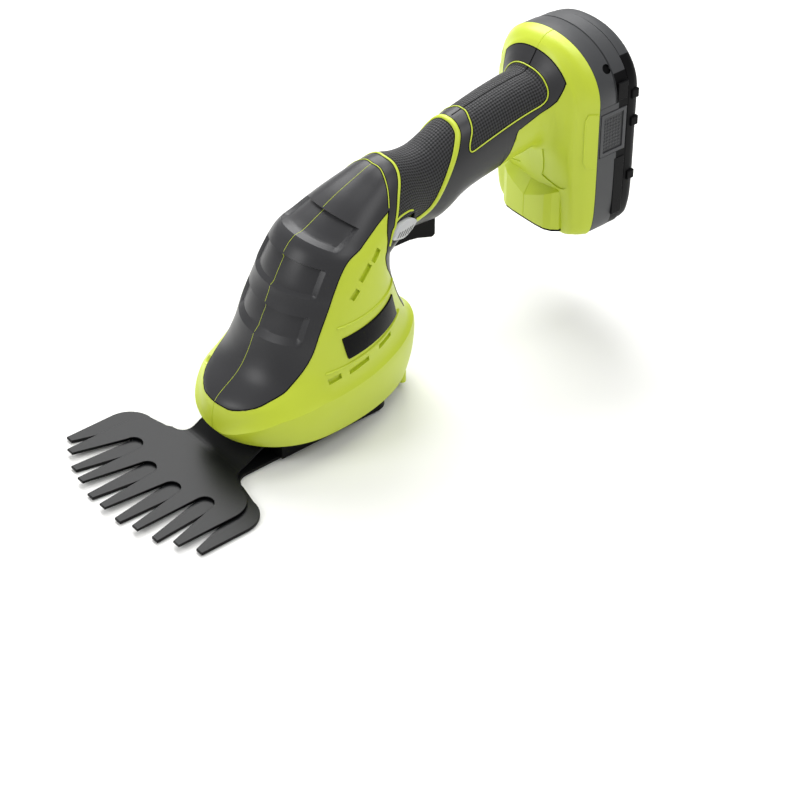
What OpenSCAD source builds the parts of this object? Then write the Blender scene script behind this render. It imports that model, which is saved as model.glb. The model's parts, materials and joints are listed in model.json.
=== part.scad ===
// Cordless grass shears: a scissor comb under a bulbous motor housing, with a
// long grip that ends in a battery head. X runs forward to the blade tips,
// Y to the left hand, Z up from the flat sole of the lower blade.

/* [Body shell] */
// Length from the origin back to the rear face of the battery
body_l = 200; // [190:1:210]
// Height of the grip's top where it meets the head
body_h = 150; // [142:1:158]
// Width of the front housing at its widest
body_w = 80; // [76:1:86]
// Width of the grip at its waist
grip_w = 32.64; // [31:0.04:35]
// Wall thickness of the two housing halves
wall = 3; // [2.6:0.1:3.2]
// Thickness of the soft overmould let into the housing
skin_t = 1.2; // [0.8:0.1:1.6]
// Radius of the screw bosses inside the housing
boss_r = 3.4; // [3.2:0.1:4]
// Radius of the housing screws
screw_r = 1.5; // [1.2:0.1:1.8]
// Radius of a screw's head
screw_head_r = 2.8; // [2.4:0.1:3.2]

/* [Blades] */
// Distance from the blade pivot to the tooth tips
comb_r = 100; // [90:1:112]
// Angle between neighbouring teeth
tooth_pitch = 14.1; // [13:0.1:14.5]
// Teeth on the fixed lower blade
lower_teeth = 6; // [4:2:6]
// Teeth on the moving upper blade
upper_teeth = 5; // [3:2:5]
// Width of a tooth at its tip
tooth_tip_w = 4.6; // [3.5:0.1:5.5]
// Radius of the root between two teeth
tooth_root_r = 5.2; // [4.5:0.1:5.6]
// Depth from the tip to the root's centre
tooth_depth = 34; // [28:1:36]
// Thickness of the lower blade
lower_blade_t = 1.8; // [1.5:0.1:2.2]
// Thickness of the upper blade
upper_blade_t = 1.6; // [1.4:0.1:2]
// Height that the upper blade's neck climbs
neck_rise = 8.8; // [8.6:0.1:10]
// Half width of the upper blade's neck
neck_half_w = 22; // [19:1:23]

/* [Drive] */
// Place of the drive axis along the body
drive_x = 8; // [6:1:10]
// Distance from the drive axis forward to the blade pivot
pivot_arm = 23; // [22:1:25]
// Throw of the eccentric
throw = 3; // [2.6:0.1:3.2]
// Radius of the eccentric pin
crank_pin_r = 4; // [3.5:0.1:4.4]
// Radius of the blade pivot
pivot_r = 4; // [3.5:0.1:4.5]
// Gear module
gear_module = 0.8; // [0.75:0.01:0.85]
// Teeth on the drive gear
gear_teeth = 48; // [44:4:52]
// Teeth on the motor pinion
pinion_teeth = 12; // [12:2:14]
// Height of the drive gear's face
gear_face = 8; // [6:0.5:9]
// Radius of the output shaft
shaft_r = 5; // [4.5:0.1:5.5]
// Outer radius of the motor can
motor_r = 18; // [16:0.5:19]
// Length of the motor can
motor_l = 54; // [48:1:56]
// Radius of the motor shaft
motor_shaft_r = 1.6; // [1.3:0.1:2]

/* [Cassette] */
// Half width of the blade cassette
cassette_half_w = 27; // [26:0.5:28]
// Distance from the drive axis back to the cassette's rear end
cassette_back = 44; // [40:1:46]
// Height of the cassette's base above the lower blade
cassette_base_h = 8.6; // [8:0.1:8.6]
// Height of the cassette's cover
cassette_cover_h = 8; // [7:0.1:9]

/* [Controls] */
// Width of the trigger
trigger_w = 16; // [13:0.5:17]
// Length of the trigger behind its pin
trigger_l = 30; // [27:0.5:32]
// Depth of the trigger below its pin
trigger_drop = 16; // [14:0.5:17]
// Radius of the trigger's pin
trigger_pin_r = 2; // [1.6:0.1:2.2]
// Length of the lock button's leaf
lock_l = 20; // [17:0.5:22]
// Travel of the lock button
lock_travel = 4; // [3:0.5:4.5]

/* [Battery] */
// Width of the battery and of the head in front of it
battery_w = 76; // [74:1:78]
// Wall of the battery stem
stem_wall = 2.2; // [1.8:0.1:2.6]
// Depth of the head's rear band
band_l = 12; // [10:0.5:13]
// Depth of the grey battery case behind the band
case_l = 9; // [7:0.5:10]
// Wall of the battery case
case_wall = 2.2; // [1.8:0.1:2.4]
// Radius of one battery cell
cell_r = 9.2; // [9:0.1:9.2]
// Length of one battery cell
cell_l = 65; // [62:0.5:65]
// Height of a release latch
latch_h = 26; // [22:1:28]
// Travel of a release latch
latch_travel = 2.5; // [2:0.1:2.8]

/* [Hidden] */
$fn = 48;

// Overrun of every cut past the face that it leaves
over = 1;
// Running clearance of a shaft in its bore
run_gap = 0.05;
// Clearance between two fixed pieces
fit_gap = 0.1;
// Clearance between pieces that move past each other
slide_gap = 0.4;
// Wider clearance of the eccentric in its slot
open_gap = 0.85;

// Sections of the body from the base round to the dock. Each row holds the top
// point (x, z), the bottom point (x, z), the half width, the height of the
// widest place, the roundness above and below it, the inner face's set-back,
// the part of the half girth that the overmould covers, and how far the half
// width follows the grip (1) and the head (2) rather than the front housing.
body_shares = [
  [ 0.292, 0.097, -0.315, 0.057, 0.930, 0.645, 2.00, 1.95, 0, 0.16, 0],
  [ 0.304, 0.133, -0.332, 0.147, 0.958, 0.645, 2.00, 1.95, 0, 0.16, 0],
  [ 0.304, 0.180, -0.332, 0.253, 0.983, 0.640, 2.00, 1.95, 0, 0.16, 0],
  [ 0.288, 0.240, -0.310, 0.307, 0.960, 0.620, 2.00, 1.95, 0, 0.16, 0],
  [ 0.220, 0.307, -0.283, 0.380, 0.935, 0.580, 2.05, 1.95, 0, 0.26, 0],
  [ 0.183, 0.373, -0.268, 0.433, 0.920, 0.560, 2.10, 1.95, 0, 0.30, 0],
  [ 0.150, 0.470, -0.250, 0.500, 0.890, 0.540, 2.15, 2.00, 0, 0.32, 0],
  [ 0.113, 0.567, -0.240, 0.553, 0.850, 0.520, 2.15, 2.00, 0, 0.33, 0],
  [ 0.093, 0.633, -0.238, 0.587, 0.815, 0.500, 2.15, 2.00, 0, 0.34, 0],
  [ 0.043, 0.733, -0.242, 0.613, 0.750, 0.500, 2.15, 2.00, 0, 0.37, 0.05],
  [-0.015, 0.777, -0.255, 0.620, 0.700, 0.500, 2.10, 2.00, 0, 0.38, 0.15],
  [-0.065, 0.812, -0.268, 0.623, 0.655, 0.500, 2.10, 2.00, 0, 0.38, 0.3],
  [-0.115, 0.845, -0.285, 0.623, 0.605, 0.500, 2.10, 2.00, 0, 0.38, 0.5],
  [-0.175, 0.877, -0.305, 0.620, 0.550, 0.500, 2.10, 2.00, 0, 0.42, 0.7],
  [-0.222, 0.900, -0.325, 0.613, 0.505, 0.500, 2.10, 2.00, 0, 0.54, 0.85],
  [-0.270, 0.909, -0.345, 0.607, 0.465, 0.500, 2.10, 2.10, 0, 0.68, 1],
  [-0.325, 0.893, -0.380, 0.600, 0.430, 0.500, 2.10, 2.10, 0, 0.82, 1],
  [-0.375, 0.895, -0.415, 0.597, 0.413, 0.500, 2.10, 2.10, 0, 0.92, 1],
  [-0.425, 0.920, -0.450, 0.613, 0.408, 0.500, 2.10, 2.10, 0, 0.94, 1],
  [-0.475, 0.947, -0.485, 0.643, 0.413, 0.500, 2.10, 2.10, 0, 0.94, 1],
  [-0.530, 0.965, -0.530, 0.667, 0.420, 0.500, 2.15, 2.15, 0, 0.94, 1],
  [-0.625, 0.988, -0.615, 0.693, 0.433, 0.500, 2.25, 2.25, 0, 0.72, 1],
  [-0.700, 1.000, -0.690, 0.710, 0.450, 0.500, 2.30, 2.30, 0, 0.50, 1],
  [-0.750, 1.007, -0.750, 0.713, 0.475, 0.500, 2.30, 2.30, 0, 0.42, 1.25],
  [-0.775, 1.047, -0.775, 0.653, 0.600, 0.580, 2.30, 3.00, 0.5, 0.40, 1.5],
  [-0.790, 1.080, -0.792, 0.507, 0.725, 0.660, 2.20, 5.00, 1, 0.34, 1.75],
  [-0.801, 1.100, -0.800, 0.380, 0.770, 0.710, 2.10, 8.00, 1, 0.34, 2],
  [-0.820, 1.119, -0.820, 0.363, 0.863, 0.725, 2.10, 9.00, 0.5, 0.34, 2],
  [-0.845, 1.125, -0.845, 0.360, 0.950, 0.731, 2.10, 9.00, 0, 0.34, 2]];
// First and last rows that carry the overmould
skin_first = 3;
skin_last = 25;
// Rows drawn between two of the sections above
row_split = 2;
// Steps round the half girth, over and beside the overmould
skin_steps = 7;
side_steps = 11;
// Half width of the step at the overmould's edge, of the half girth
edge_share = 0.012;

function lerp(a, b, t) = a + (b - a) * t;
function blend(p, q, r, s, t) =
  (2 * q + (r - p) * t + (2 * p - 5 * q + 4 * r - s) * t * t + (3 * q - p - 3 * r + s) * pow(t, 3)) / 2;
row_count = len(body_shares);
// Row at the grip's waist, and the width that a row's share is taken of
waist_row = 18;
grip_span = grip_w / body_shares[waist_row][4];
head_span = battery_w / body_shares[row_count - 1][4];
function width_at(k) = k < 1 ? lerp(body_w, grip_span, max(k, 0)) : lerp(grip_span, head_span, min(k - 1, 1));
function share_row(i, t) =
  blend(body_shares[max(i - 1, 0)], body_shares[i],
    body_shares[i + 1], body_shares[min(i + 2, row_count - 1)], t);
row_shares = [
  for (i = [0:row_count - 2]) for (k = [0:row_split - 1]) share_row(i, k / row_split),
  body_shares[row_count - 1]];
rows = [for (r = row_shares)
  [r[0] * body_l, r[1] * body_h, r[2] * body_l, r[3] * body_h, r[4] * width_at(r[10]) / 2,
    r[5], r[6], r[7], r[8], r[9]]];
last_row = len(rows) - 1;

// A point of a section at an angle from its top, grown by d and set back by s
function section_pt(r, a, d, s) =
  let(
    span = norm([r[0] - r[2], r[1] - r[3]]),
    ux = (r[0] - r[2]) / span,
    uz = (r[1] - r[3]) / span,
    up = a < 90,
    e = 2 / (up ? r[6] : r[7]),
    half = (up ? 1 - r[5] : r[5]) * span + d,
    reach = (up ? half : -half) * pow(abs(cos(a)), e),
    cx = lerp(r[2], r[0], r[5]),
    cz = lerp(r[3], r[1], r[5]))
  [cx + ux * reach - s * r[8], (r[4] + d) * pow(abs(sin(a)), e), cz + uz * reach];

// Half girth shares: over the overmould first, then down the bare side
function girth(r) = concat(
  [for (j = [0:skin_steps - 1]) lerp(0, r[9] - edge_share, j / (skin_steps - 1))],
  [for (j = [0:side_steps - 1]) lerp(r[9] + edge_share, 1, j / (side_steps - 1))]);
girth_steps = skin_steps + side_steps;
function is_skinned(i) = i >= skin_first * row_split && i <= skin_last * row_split;
function outer_row(i) =
  let(r = rows[i], g = girth(r))
  [for (j = [0:girth_steps - 1])
    section_pt(r, 180 * g[j], is_skinned(i) && j < skin_steps ? -skin_t : 0, 0)];
function inner_row(i, d) =
  let(r = rows[i], g = girth(r)) [for (j = [0:girth_steps - 1]) section_pt(r, 180 * g[j], -d, d)];
function skin_row(i, d) =
  let(r = rows[i])
  [for (j = [0:skin_steps - 1])
    section_pt(r, 180 * (lerp(0, r[9] - edge_share, j / (skin_steps - 1))
      - (j == skin_steps - 1 ? edge_share : 0)), -d, 0)];

function flat(lists) = [for (l = lists) each l];
function two(q) = [[q[0], q[1], q[2]], [q[0], q[2], q[3]]];
function two_turned(q) = [[q[0], q[1], q[3]], [q[1], q[2], q[3]]];

// Closed slab between an outer and an inner grid of points
module slab(outer, inner) {
  nr = len(outer);
  nv = len(outer[0]);
  o = function(i, j) i * nv + j;
  n = function(i, j) (nr + i) * nv + j;
  quads = concat(
    [for (i = [0:nr - 2]) for (j = [0:nv - 2]) [o(i, j), o(i + 1, j), o(i + 1, j + 1), o(i, j + 1)]],
    [for (i = [0:nr - 2]) for (j = [0:nv - 2]) [n(i, j), n(i, j + 1), n(i + 1, j + 1), n(i + 1, j)]],
    [for (i = [0:nr - 2]) [o(i + 1, 0), o(i, 0), n(i, 0), n(i + 1, 0)]],
    [for (i = [0:nr - 2]) [o(i, nv - 1), o(i + 1, nv - 1), n(i + 1, nv - 1), n(i, nv - 1)]],
    [for (j = [0:nv - 2]) [o(0, j), o(0, j + 1), n(0, j + 1), n(0, j)]],
    [for (j = [0:nv - 2]) [o(nr - 1, j + 1), o(nr - 1, j), n(nr - 1, j), n(nr - 1, j + 1)]]);
  polyhedron(points = concat(flat(outer), flat(inner)), faces = flat([for (q = quads) two(q)]));
}

// Whole body drawn in by d between two sections, closed at both ends
module body_core(d, first, last) {
  ring = function(i) let(h = inner_row(i, d))
    concat(h, [for (j = [girth_steps - 2:-1:1]) [h[j][0], -h[j][1], h[j][2]]]);
  grid = [for (i = [first * row_split:last * row_split]) ring(i)];
  nr = len(grid);
  nv = len(grid[0]);
  o = function(i, j) i * nv + j % nv;
  sides = [for (i = [0:nr - 2]) for (j = [0:nv - 1])
    let(q = [o(i, j), o(i + 1, j), o(i + 1, j + 1), o(i, j + 1)])
    j < girth_steps - 1 ? two(q) : two_turned(q)];
  polyhedron(points = flat(grid), faces = concat(flat(sides),
    [[for (j = [0:nv - 1]) o(0, j)]],
    [[for (j = [nv - 1:-1:0]) o(nr - 1, j)]]));
}

// Rectangular block between two corners
module block(a, b) translate(a) cube(b - a);
// Cylinder along X or Y from a start point
module rod_x(r, l) rotate([0, 90, 0]) cylinder(r = r, h = l);
module rod_y(r, l) rotate([-90, 0, 0]) cylinder(r = r, h = l);
// Through bore along Z between two heights
module bore(r, low, high) translate([0, 0, low - over]) cylinder(r = r, h = high - low + 2 * over);
module both_sides() for (s = [0, 1]) mirror([0, s, 0]) children();

// Heights of the drive, from the sole up
blade_gap = 0.15;
crank_flange_t = 2;
plate_t = 4;
lower_top = lower_blade_t;
upper_low = lower_top + blade_gap;
tail_low = upper_low + neck_rise;
tail_top = tail_low + upper_blade_t;
base_top = lower_top + cassette_base_h;
cover_low = tail_top + slide_gap + fit_gap;
cover_top = cover_low + cassette_cover_h;
crank_top = cover_top + slide_gap / 2 + crank_flange_t;
gear_cover_low = crank_top + 2 * slide_gap;
gear_cover_top = gear_cover_low + plate_t;
gear_low = gear_cover_top + 2 * slide_gap;
gear_top = gear_low + gear_face;
gear_plate_low = gear_top + 2 * slide_gap;
gear_plate_top = gear_plate_low + plate_t;
pivot_x = drive_x + pivot_arm;
gear_r = gear_module * gear_teeth / 2;
pinion_r = gear_module * pinion_teeth / 2;
motor_x = drive_x - gear_r - pinion_r;
motor_low = gear_plate_top;
motor_top = motor_low + motor_l;

// Trigger pin, as shares of the body's length and height, and the trigger's form
pin_shares = [-0.262, 0.645];
pin_x = pin_shares[0] * body_l;
pin_z = pin_shares[1] * body_h;
trigger_nose_share = 0.167;
trigger_top_share = 0.19;
trigger_tail_share = -0.1;
trigger_under_shares = [[-1, -1], [-0.93, -1.08], [-0.6, -0.86], [-0.09, -0.78]];
trigger_nose_shares = [[trigger_nose_share, -0.45], [trigger_nose_share, 0.08]];
trigger_back_gap = 3;
trigger_top = trigger_top_share * trigger_drop;
trigger_back = pin_x - trigger_l;
trigger_front = pin_x + trigger_nose_share * trigger_l;
// Height of the trigger's upper face at a distance behind its pin
function trigger_face(back) =
  pin_z + trigger_drop * lerp(trigger_top_share, trigger_tail_share, back / trigger_l);

// Lock button on the grip's sides: a share of the length, and the row that it lies on
lock_share = -0.25;
lock_row = 13;
lock_inset = 1.6;
lock_rise = 1.06;
lock_x = lock_share * body_l;
lock_y = rows[lock_row * row_split][4] - lock_inset;
lock_h = 8;
lock_t = 2.6;
lock_tilt = 20;
lock_bar_r = 2.2;
lock_z = pin_z + trigger_top + lock_rise + lock_bar_r;
lock_spring_l = 8;
lock_spring_r = 1.8;
lock_slot_depth = 8;

// Switch inside the grip: rear, front, underside and top as shares
switch_shares = [-0.475, -0.345, 0.745, 0.845];
switch_back = switch_shares[0] * body_l;
switch_front = switch_shares[1] * body_l;
switch_low = switch_shares[2] * body_h;
switch_high = switch_shares[3] * body_h;
switch_half_w = 8;
tongue_t = 2;

// Battery stem height, dock face and the battery's steps
stem_z_share = 0.815;
step_z_share = 0.91;
stem_z = stem_z_share * body_h;
step_z = step_z_share * body_h;
stem_r = cell_r + fit_gap + stem_wall;
dock_x = rows[last_row][0];
dock_t = 2.6;
band_back = dock_x - band_l;
case_front = dock_x - slide_gap;
case_back = band_back - case_l;
battery_back = -body_l;
cover_floor = 3;
cover_edge = 4;
cover_wall = 1.8;
cover_inset = 0.6;
cell_x = battery_back + cover_floor + cell_r + fit_gap;
stem_cell_back = cell_x + cell_r + 2 * fit_gap;
stem_end_share = -0.5555;
stem_end = stem_end_share * body_l;
stem_cell_l = stem_end - stem_wall - fit_gap - stem_cell_back;

// Contacts and the terminal block that carries them
contact_t = 0.8;
contact_h = 6;
contact_reach = 4;
terminal_t = 4;
terminal_back = stem_end + contact_reach;
terminal_front = terminal_back + terminal_t;

// Screw bosses: places (x, z) as shares of the body's length and height
boss_shares = [[0.215, 0.25], [-0.285, 0.30], [-0.185, 0.80], [-0.814, 0.96]];
grip_boss_z_share = 0.707;
boss_places = concat([for (s = boss_shares) [s[0] * body_l, s[1] * body_h]],
  [[terminal_front + boss_r + 2 * slide_gap, grip_boss_z_share * body_h]]);
screw_grip = 9;
screw_head_h = 2.4;

// Head outline in Y and Z, grown by d: an arch on straight sides
head_steps = 24;
function head_pt(a, d) =
  let(r = rows[last_row], p = section_pt(r, a, d, 0), k = (battery_w + 2 * d) / (2 * r[4] + 2 * d))
  [p[1] * k, p[2]];
function head_outline(d) = concat(
  [for (i = [0:head_steps]) head_pt(180 * i / head_steps, d)],
  [for (i = [head_steps - 1:-1:1]) let(p = head_pt(180 * i / head_steps, d)) [-p[0], p[1]]]);
// Slice of the head outline between two places along X
module head_slice(front, back, d) translate([back, 0, 0]) rotate([90, 0, 90])
  linear_extrude(front - back) polygon(head_outline(d));

module bosses() for (p = boss_places) translate([p[0], 0, p[1]]) rod_y(boss_r, body_w / 2);
// Ribs that hold the switch at its sides
rib_inset = 6;
rib_h = 7;
rib_low = 2;
module switch_ribs() block(
  [switch_back + rib_inset, switch_half_w + fit_gap, switch_low + rib_low],
  [switch_front - rib_inset, body_w / 2, switch_low + rib_low + rib_h]);

// Raised cover low on the head's front: points (x, z) as shares, and its half width
lump_shares = [[-0.761, 0.39], [-0.761, 0.50], [-0.803, 0.57]];
lump_half_w = 22;
module head_lump() rotate([90, 0, 0]) translate([0, 0, -lump_half_w]) linear_extrude(lump_half_w)
  polygon(concat([for (s = lump_shares) [s[0] * body_l, s[1] * body_h]],
    [for (s = [lump_shares[2], lump_shares[0]]) [lump_shares[2][0] * body_l - wall, s[1] * body_h]]));

// Vents in the sides: places (x, z) as shares of the body, and shares of the vent's length
vent_shares = [[-0.04, 0.59, 0.5], [-0.082, 0.65, 0.7], [-0.125, 0.688, 0.6],
  [0.05, 0.31, 0.7], [-0.035, 0.315, 1.0], [-0.14, 0.335, 0.9]];
vent_l = 12;
vent_h = 3;
vent_tilt = 20;
module vents() for (s = vent_shares)
  translate([s[0] * body_l, body_w / 4, s[1] * body_h]) rotate([0, vent_tilt, 0])
    translate([-vent_l * s[2] / 2, 0, -vent_h / 2]) cube([vent_l * s[2], body_w / 2, vent_h]);

// Slot for the trigger under the grip
module trigger_slot() block(
  [trigger_back - trigger_back_gap, -trigger_w / 2 - slide_gap, pin_z - trigger_drop],
  [trigger_front + 2 * slide_gap, trigger_w / 2 + slide_gap, pin_z + trigger_top + 2 * slide_gap]);
// Lens outline of the lock button's leaf
arc_steps = 8;
function lens(l, h) = concat(
  [for (i = [0:arc_steps]) let(t = i / arc_steps) [l * (t - 1 / 2), h / 2 * sin(180 * t)]],
  [for (i = [arc_steps - 1:-1:1]) let(t = i / arc_steps) [l * (t - 1 / 2), -h / 2 * sin(180 * t)]]);
module lock_slot() translate([lock_x, body_w / 2, lock_z]) rotate([90, 0, 0])
  linear_extrude(body_w / 2 - lock_y + lock_slot_depth) {
    for (x = [0, -lock_travel]) translate([x, 0])
      polygon(lens(lock_l + 2 * slide_gap, lock_h + 2 * slide_gap));
    translate([-lock_travel, -lock_h / 2 - slide_gap]) square([lock_travel, lock_h + 2 * slide_gap]);
  }
pin_hold = 3;
pin_half_l = trigger_w / 2 + pin_hold;
module screw_wells() for (p = boss_places) translate([p[0], -body_w / 2, p[1]])
  rod_y(screw_head_r + fit_gap, body_w / 2 - screw_grip);

// Heel foot under the rear of the rim, on the middle of the wall
foot_girth_share = 0.84;
foot_h = 5.4;
foot_r = 2.2;
foot_root = 2;
module heel_foot() translate(section_pt(rows[0], 180 * foot_girth_share, -wall / 2, 0))
  translate([0, 0, -foot_h]) cylinder(r = foot_r, h = foot_h + foot_root);
module housing_half() difference() {
  union() {
    heel_foot();
    slab([for (i = [0:last_row]) outer_row(i)], [for (i = [0:last_row]) inner_row(i, wall)]);
    intersection() {
      body_core((wall + skin_t) / 2, 0, row_count - 1);
      union() {
        bosses();
        switch_ribs();
      }
    }
    head_lump();
  }
  trigger_slot();
  lock_slot();
  vents();
  translate([pin_x, 0, pin_z]) rod_y(trigger_pin_r + run_gap, pin_half_l + fit_gap);
  for (p = boss_places) translate([p[0], -over, p[1]]) rod_y(screw_r + run_gap, screw_grip + over + fit_gap);
}
module housing_left() color("#c6d23a") housing_half();
module housing_right() color("#c6d23a") difference() {
  mirror([0, 1, 0]) housing_half();
  screw_wells();
}

module overmould_half() {
  first = skin_first * row_split;
  last = skin_last * row_split;
  difference() {
    slab([for (i = [first:last]) skin_row(i, 0)],
      [for (i = [first:last]) skin_row(i, skin_t - fit_gap)]);
    trigger_slot();
    lock_slot();
  }
}
module overmould_left() color("#4a4a4c") overmould_half();
module overmould_right() color("#4a4a4c") difference() {
  mirror([0, 1, 0]) overmould_half();
  screw_wells();
}

module housing_screws() color("silver") for (p = boss_places) translate([p[0], 0, p[1]]) {
  translate([0, -screw_grip, 0]) rod_y(screw_r, 2 * screw_grip);
  translate([0, -screw_grip - screw_head_h, 0]) rod_y(screw_head_r, screw_head_h);
}

// Dark band that arches over the battery behind the lime head
module head_band() color("#47474a") difference() {
  head_slice(dock_x - fit_gap, band_back, 0);
  head_slice(dock_x + over, band_back - over, -wall);
  block([band_back - over, -body_w, 0], [dock_x + over, body_w, step_z + slide_gap]);
}

// Release latches: a plate in the case's side, and a tongue that enters the head
latch_rim = 1;
latch_web_l = 6;
latch_tongue_t = 2;
latch_tongue_h = 16;
latch_drop = 4;
latch_set_in = 6.6;
latch_spring_r = 1.8;
latch_spring_l = 6;
latch_z = step_z - latch_drop - latch_h / 2;
latch_back = case_back + latch_rim;
latch_front = case_front - latch_rim - slide_gap;
tongue_out = battery_w / 2 - latch_set_in;
tongue_in = tongue_out - latch_tongue_t;
tongue_tip = dock_x + dock_t + 2 * slide_gap;
// Room for the tongue's inward travel, between two places along X
module tongue_way(front, back) block(
  [back, tongue_in - latch_travel - slide_gap, latch_z - latch_tongue_h / 2 - slide_gap],
  [front, tongue_out + slide_gap, latch_z + latch_tongue_h / 2 + slide_gap]);

// Plate inside the head's mouth that guides the stem
module dock_plate() color("#2c2c2e") difference() {
  intersection() {
    body_core(wall + fit_gap, skin_last, row_count - 1);
    block([dock_x + fit_gap, -body_w, 0], [dock_x + fit_gap + dock_t, body_w, 2 * body_h]);
  }
  translate([dock_x - over, 0, stem_z]) rod_x(stem_r + slide_gap, dock_t + fit_gap + 2 * over);
  both_sides() tongue_way(tongue_tip + over, case_front);
}

// Bare plates on both sides of the front housing, placed by shares (x, z)
badge_shares = [-0.09, 0.42];
badge_l = 34;
badge_h = 13;
badge_t = 0.8;
badge_tilt = 17;
badge_first = 3;
badge_last = 7;
module side_badges() color("#161617") both_sides() intersection() {
  translate([badge_shares[0] * body_l, 0, badge_shares[1] * body_h]) rotate([0, badge_tilt, 0])
    translate([-badge_l / 2, 0, -badge_h / 2]) cube([badge_l, body_w, badge_h]);
  difference() {
    body_core(-badge_t, badge_first, badge_last);
    body_core(-fit_gap, badge_first, badge_last);
  }
}

// Motor: can, end cap, rotor on two bearings and the pinion
motor_wall = 1.4;
rotor_gap = 1;
motor_cap_t = 5;
motor_floor = 3;
rotor_end = 8;
rotor_r = motor_r - motor_wall - rotor_gap;
motor_screw_y = motor_r / 2;
motor_screw_head_h = 0.6;
module motor_can() color("#8d9093") translate([motor_x, 0, 0]) difference() {
  translate([0, 0, motor_low]) cylinder(r = motor_r, h = motor_l);
  translate([0, 0, motor_low + motor_floor]) cylinder(r = motor_r - motor_wall, h = motor_l);
  bore(motor_shaft_r + run_gap, motor_low, motor_low + motor_floor);
  both_sides() translate([0, motor_screw_y, 0]) bore(screw_r + run_gap, motor_low, motor_low + motor_floor);
}
module motor_end_cap() color("#2a2a2c") translate([motor_x, 0, motor_top]) difference() {
  cylinder(r = motor_r, h = motor_cap_t);
  translate([0, 0, -over]) cylinder(r = motor_shaft_r + run_gap, h = motor_cap_t - over);
}
module motor_rotor() color("#b07a3a") translate([motor_x, 0, 0]) {
  translate([0, 0, gear_low]) cylinder(r = motor_shaft_r, h = motor_top + motor_cap_t / 2 - gear_low);
  translate([0, 0, motor_low + motor_floor + rotor_end])
    cylinder(r = rotor_r, h = motor_l - motor_floor - 2 * rotor_end);
}
module motor_screws() color("silver") both_sides() translate([motor_x, motor_screw_y, gear_plate_low]) {
  cylinder(r = screw_r, h = plate_t + motor_floor);
  translate([0, 0, -motor_screw_head_h]) cylinder(r = screw_head_r, h = motor_screw_head_h);
}

// Spur gear outline with straight-flanked teeth: half widths as shares of the
// pitch, heights as shares of the module
tooth_top_share = 0.11;
tooth_foot_share = 0.30;
tooth_tip_share = 0.95;
tooth_base_share = 1.2;
module gear_outline(teeth) {
  r = gear_module * teeth / 2;
  tip = r + gear_module * tooth_tip_share;
  foot = r - gear_module * tooth_base_share;
  flank = [[-tooth_foot_share, foot], [-tooth_top_share, tip],
    [tooth_top_share, tip], [tooth_foot_share, foot]];
  polygon([for (i = [0:teeth - 1]) for (k = flank)
    let(a = 360 / teeth * (i + k[0])) [k[1] * cos(a), k[1] * sin(a)]]);
}
module motor_pinion() color("#c9a24a") translate([motor_x, 0, gear_low + slide_gap])
  rotate(180 / pinion_teeth) difference() {
    linear_extrude(gear_face - 2 * slide_gap) gear_outline(pinion_teeth);
    bore(motor_shaft_r + run_gap, 0, gear_face);
  }
module drive_gear() color("#d9d9d2") translate([drive_x, 0, gear_low]) difference() {
  linear_extrude(gear_face) gear_outline(gear_teeth);
  bore(shaft_r + run_gap, 0, gear_face);
}

// Output shaft with a hexagonal end that enters the crank
hex_share = 0.92;
hex_r = hex_share * shaft_r;
shaft_top = gear_plate_top - slide_gap;
hex_low_share = 0.25;
hex_low = cover_low + hex_low_share * cassette_cover_h;
module output_shaft() color("#9a9da0") translate([drive_x, 0, 0]) {
  translate([0, 0, gear_cover_low]) cylinder(r = shaft_r, h = shaft_top - gear_cover_low);
  translate([0, 0, hex_low]) cylinder(r = hex_r, h = gear_cover_low - hex_low, $fn = 6);
}
bush_wall = 2;
bush_r = shaft_r + bush_wall;
module shaft_bushes() color("#b98d4f") for (z = [gear_cover_low, gear_plate_low])
  translate([drive_x, 0, z]) difference() {
    cylinder(r = bush_r, h = plate_t);
    bore(shaft_r + run_gap, 0, plate_t);
  }

// Two gearbox plates that fill the housing's section, held apart by posts
plate_shares = [-0.25, 0.18];
plate_last = 8;
post_r = 3.6;
post_shares = [[0.135, 0.24], [-0.19, 0.2]];
post_places = [for (s = post_shares) [s[0] * body_l, s[1] * body_w]];
pad_r = 4;
pad_shares = [[0.08, 0.26], [-0.15, 0.25]];
pad_places = [for (s = pad_shares) [s[0] * body_l, s[1] * body_w]];
module plate_blank(low, high) intersection() {
  body_core(wall + fit_gap, 0, plate_last);
  block([plate_shares[0] * body_l, -body_w, low], [plate_shares[1] * body_l, body_w, high]);
}
module gear_plate() color("#5c5f63") difference() {
  plate_blank(gear_plate_low, gear_plate_top);
  translate([drive_x, 0, 0]) bore(bush_r + fit_gap, gear_plate_low, gear_plate_top);
  translate([motor_x, 0, 0]) bore(2 * motor_shaft_r, gear_plate_low, gear_plate_top);
  both_sides() {
    translate([motor_x, motor_screw_y, 0]) bore(screw_r + run_gap, gear_plate_low, gear_plate_top);
    for (p = post_places) translate(p) bore(screw_r + run_gap, gear_plate_low, gear_plate_top);
  }
}
module gear_cover() color("#5c5f63") difference() {
  union() {
    plate_blank(gear_cover_low, gear_cover_top);
    both_sides() {
      for (p = post_places) translate([p[0], p[1], gear_cover_low])
        cylinder(r = post_r, h = gear_plate_low - gear_cover_low);
      for (p = pad_places) translate([p[0], p[1], cover_top + fit_gap])
        cylinder(r = pad_r, h = gear_cover_top - cover_top - fit_gap);
    }
  }
  translate([drive_x, 0, 0]) bore(bush_r + fit_gap, gear_cover_low, gear_cover_top);
  both_sides() for (p = post_places) translate(p) bore(screw_r + run_gap, gear_cover_low, gear_plate_low);
}
module gear_screws() color("silver") both_sides() for (p = post_places) translate(p) {
  translate([0, 0, gear_cover_low]) cylinder(r = screw_r, h = gear_plate_top - gear_cover_low);
  translate([0, 0, gear_plate_top]) cylinder(r = screw_head_r, h = screw_head_h);
}

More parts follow.
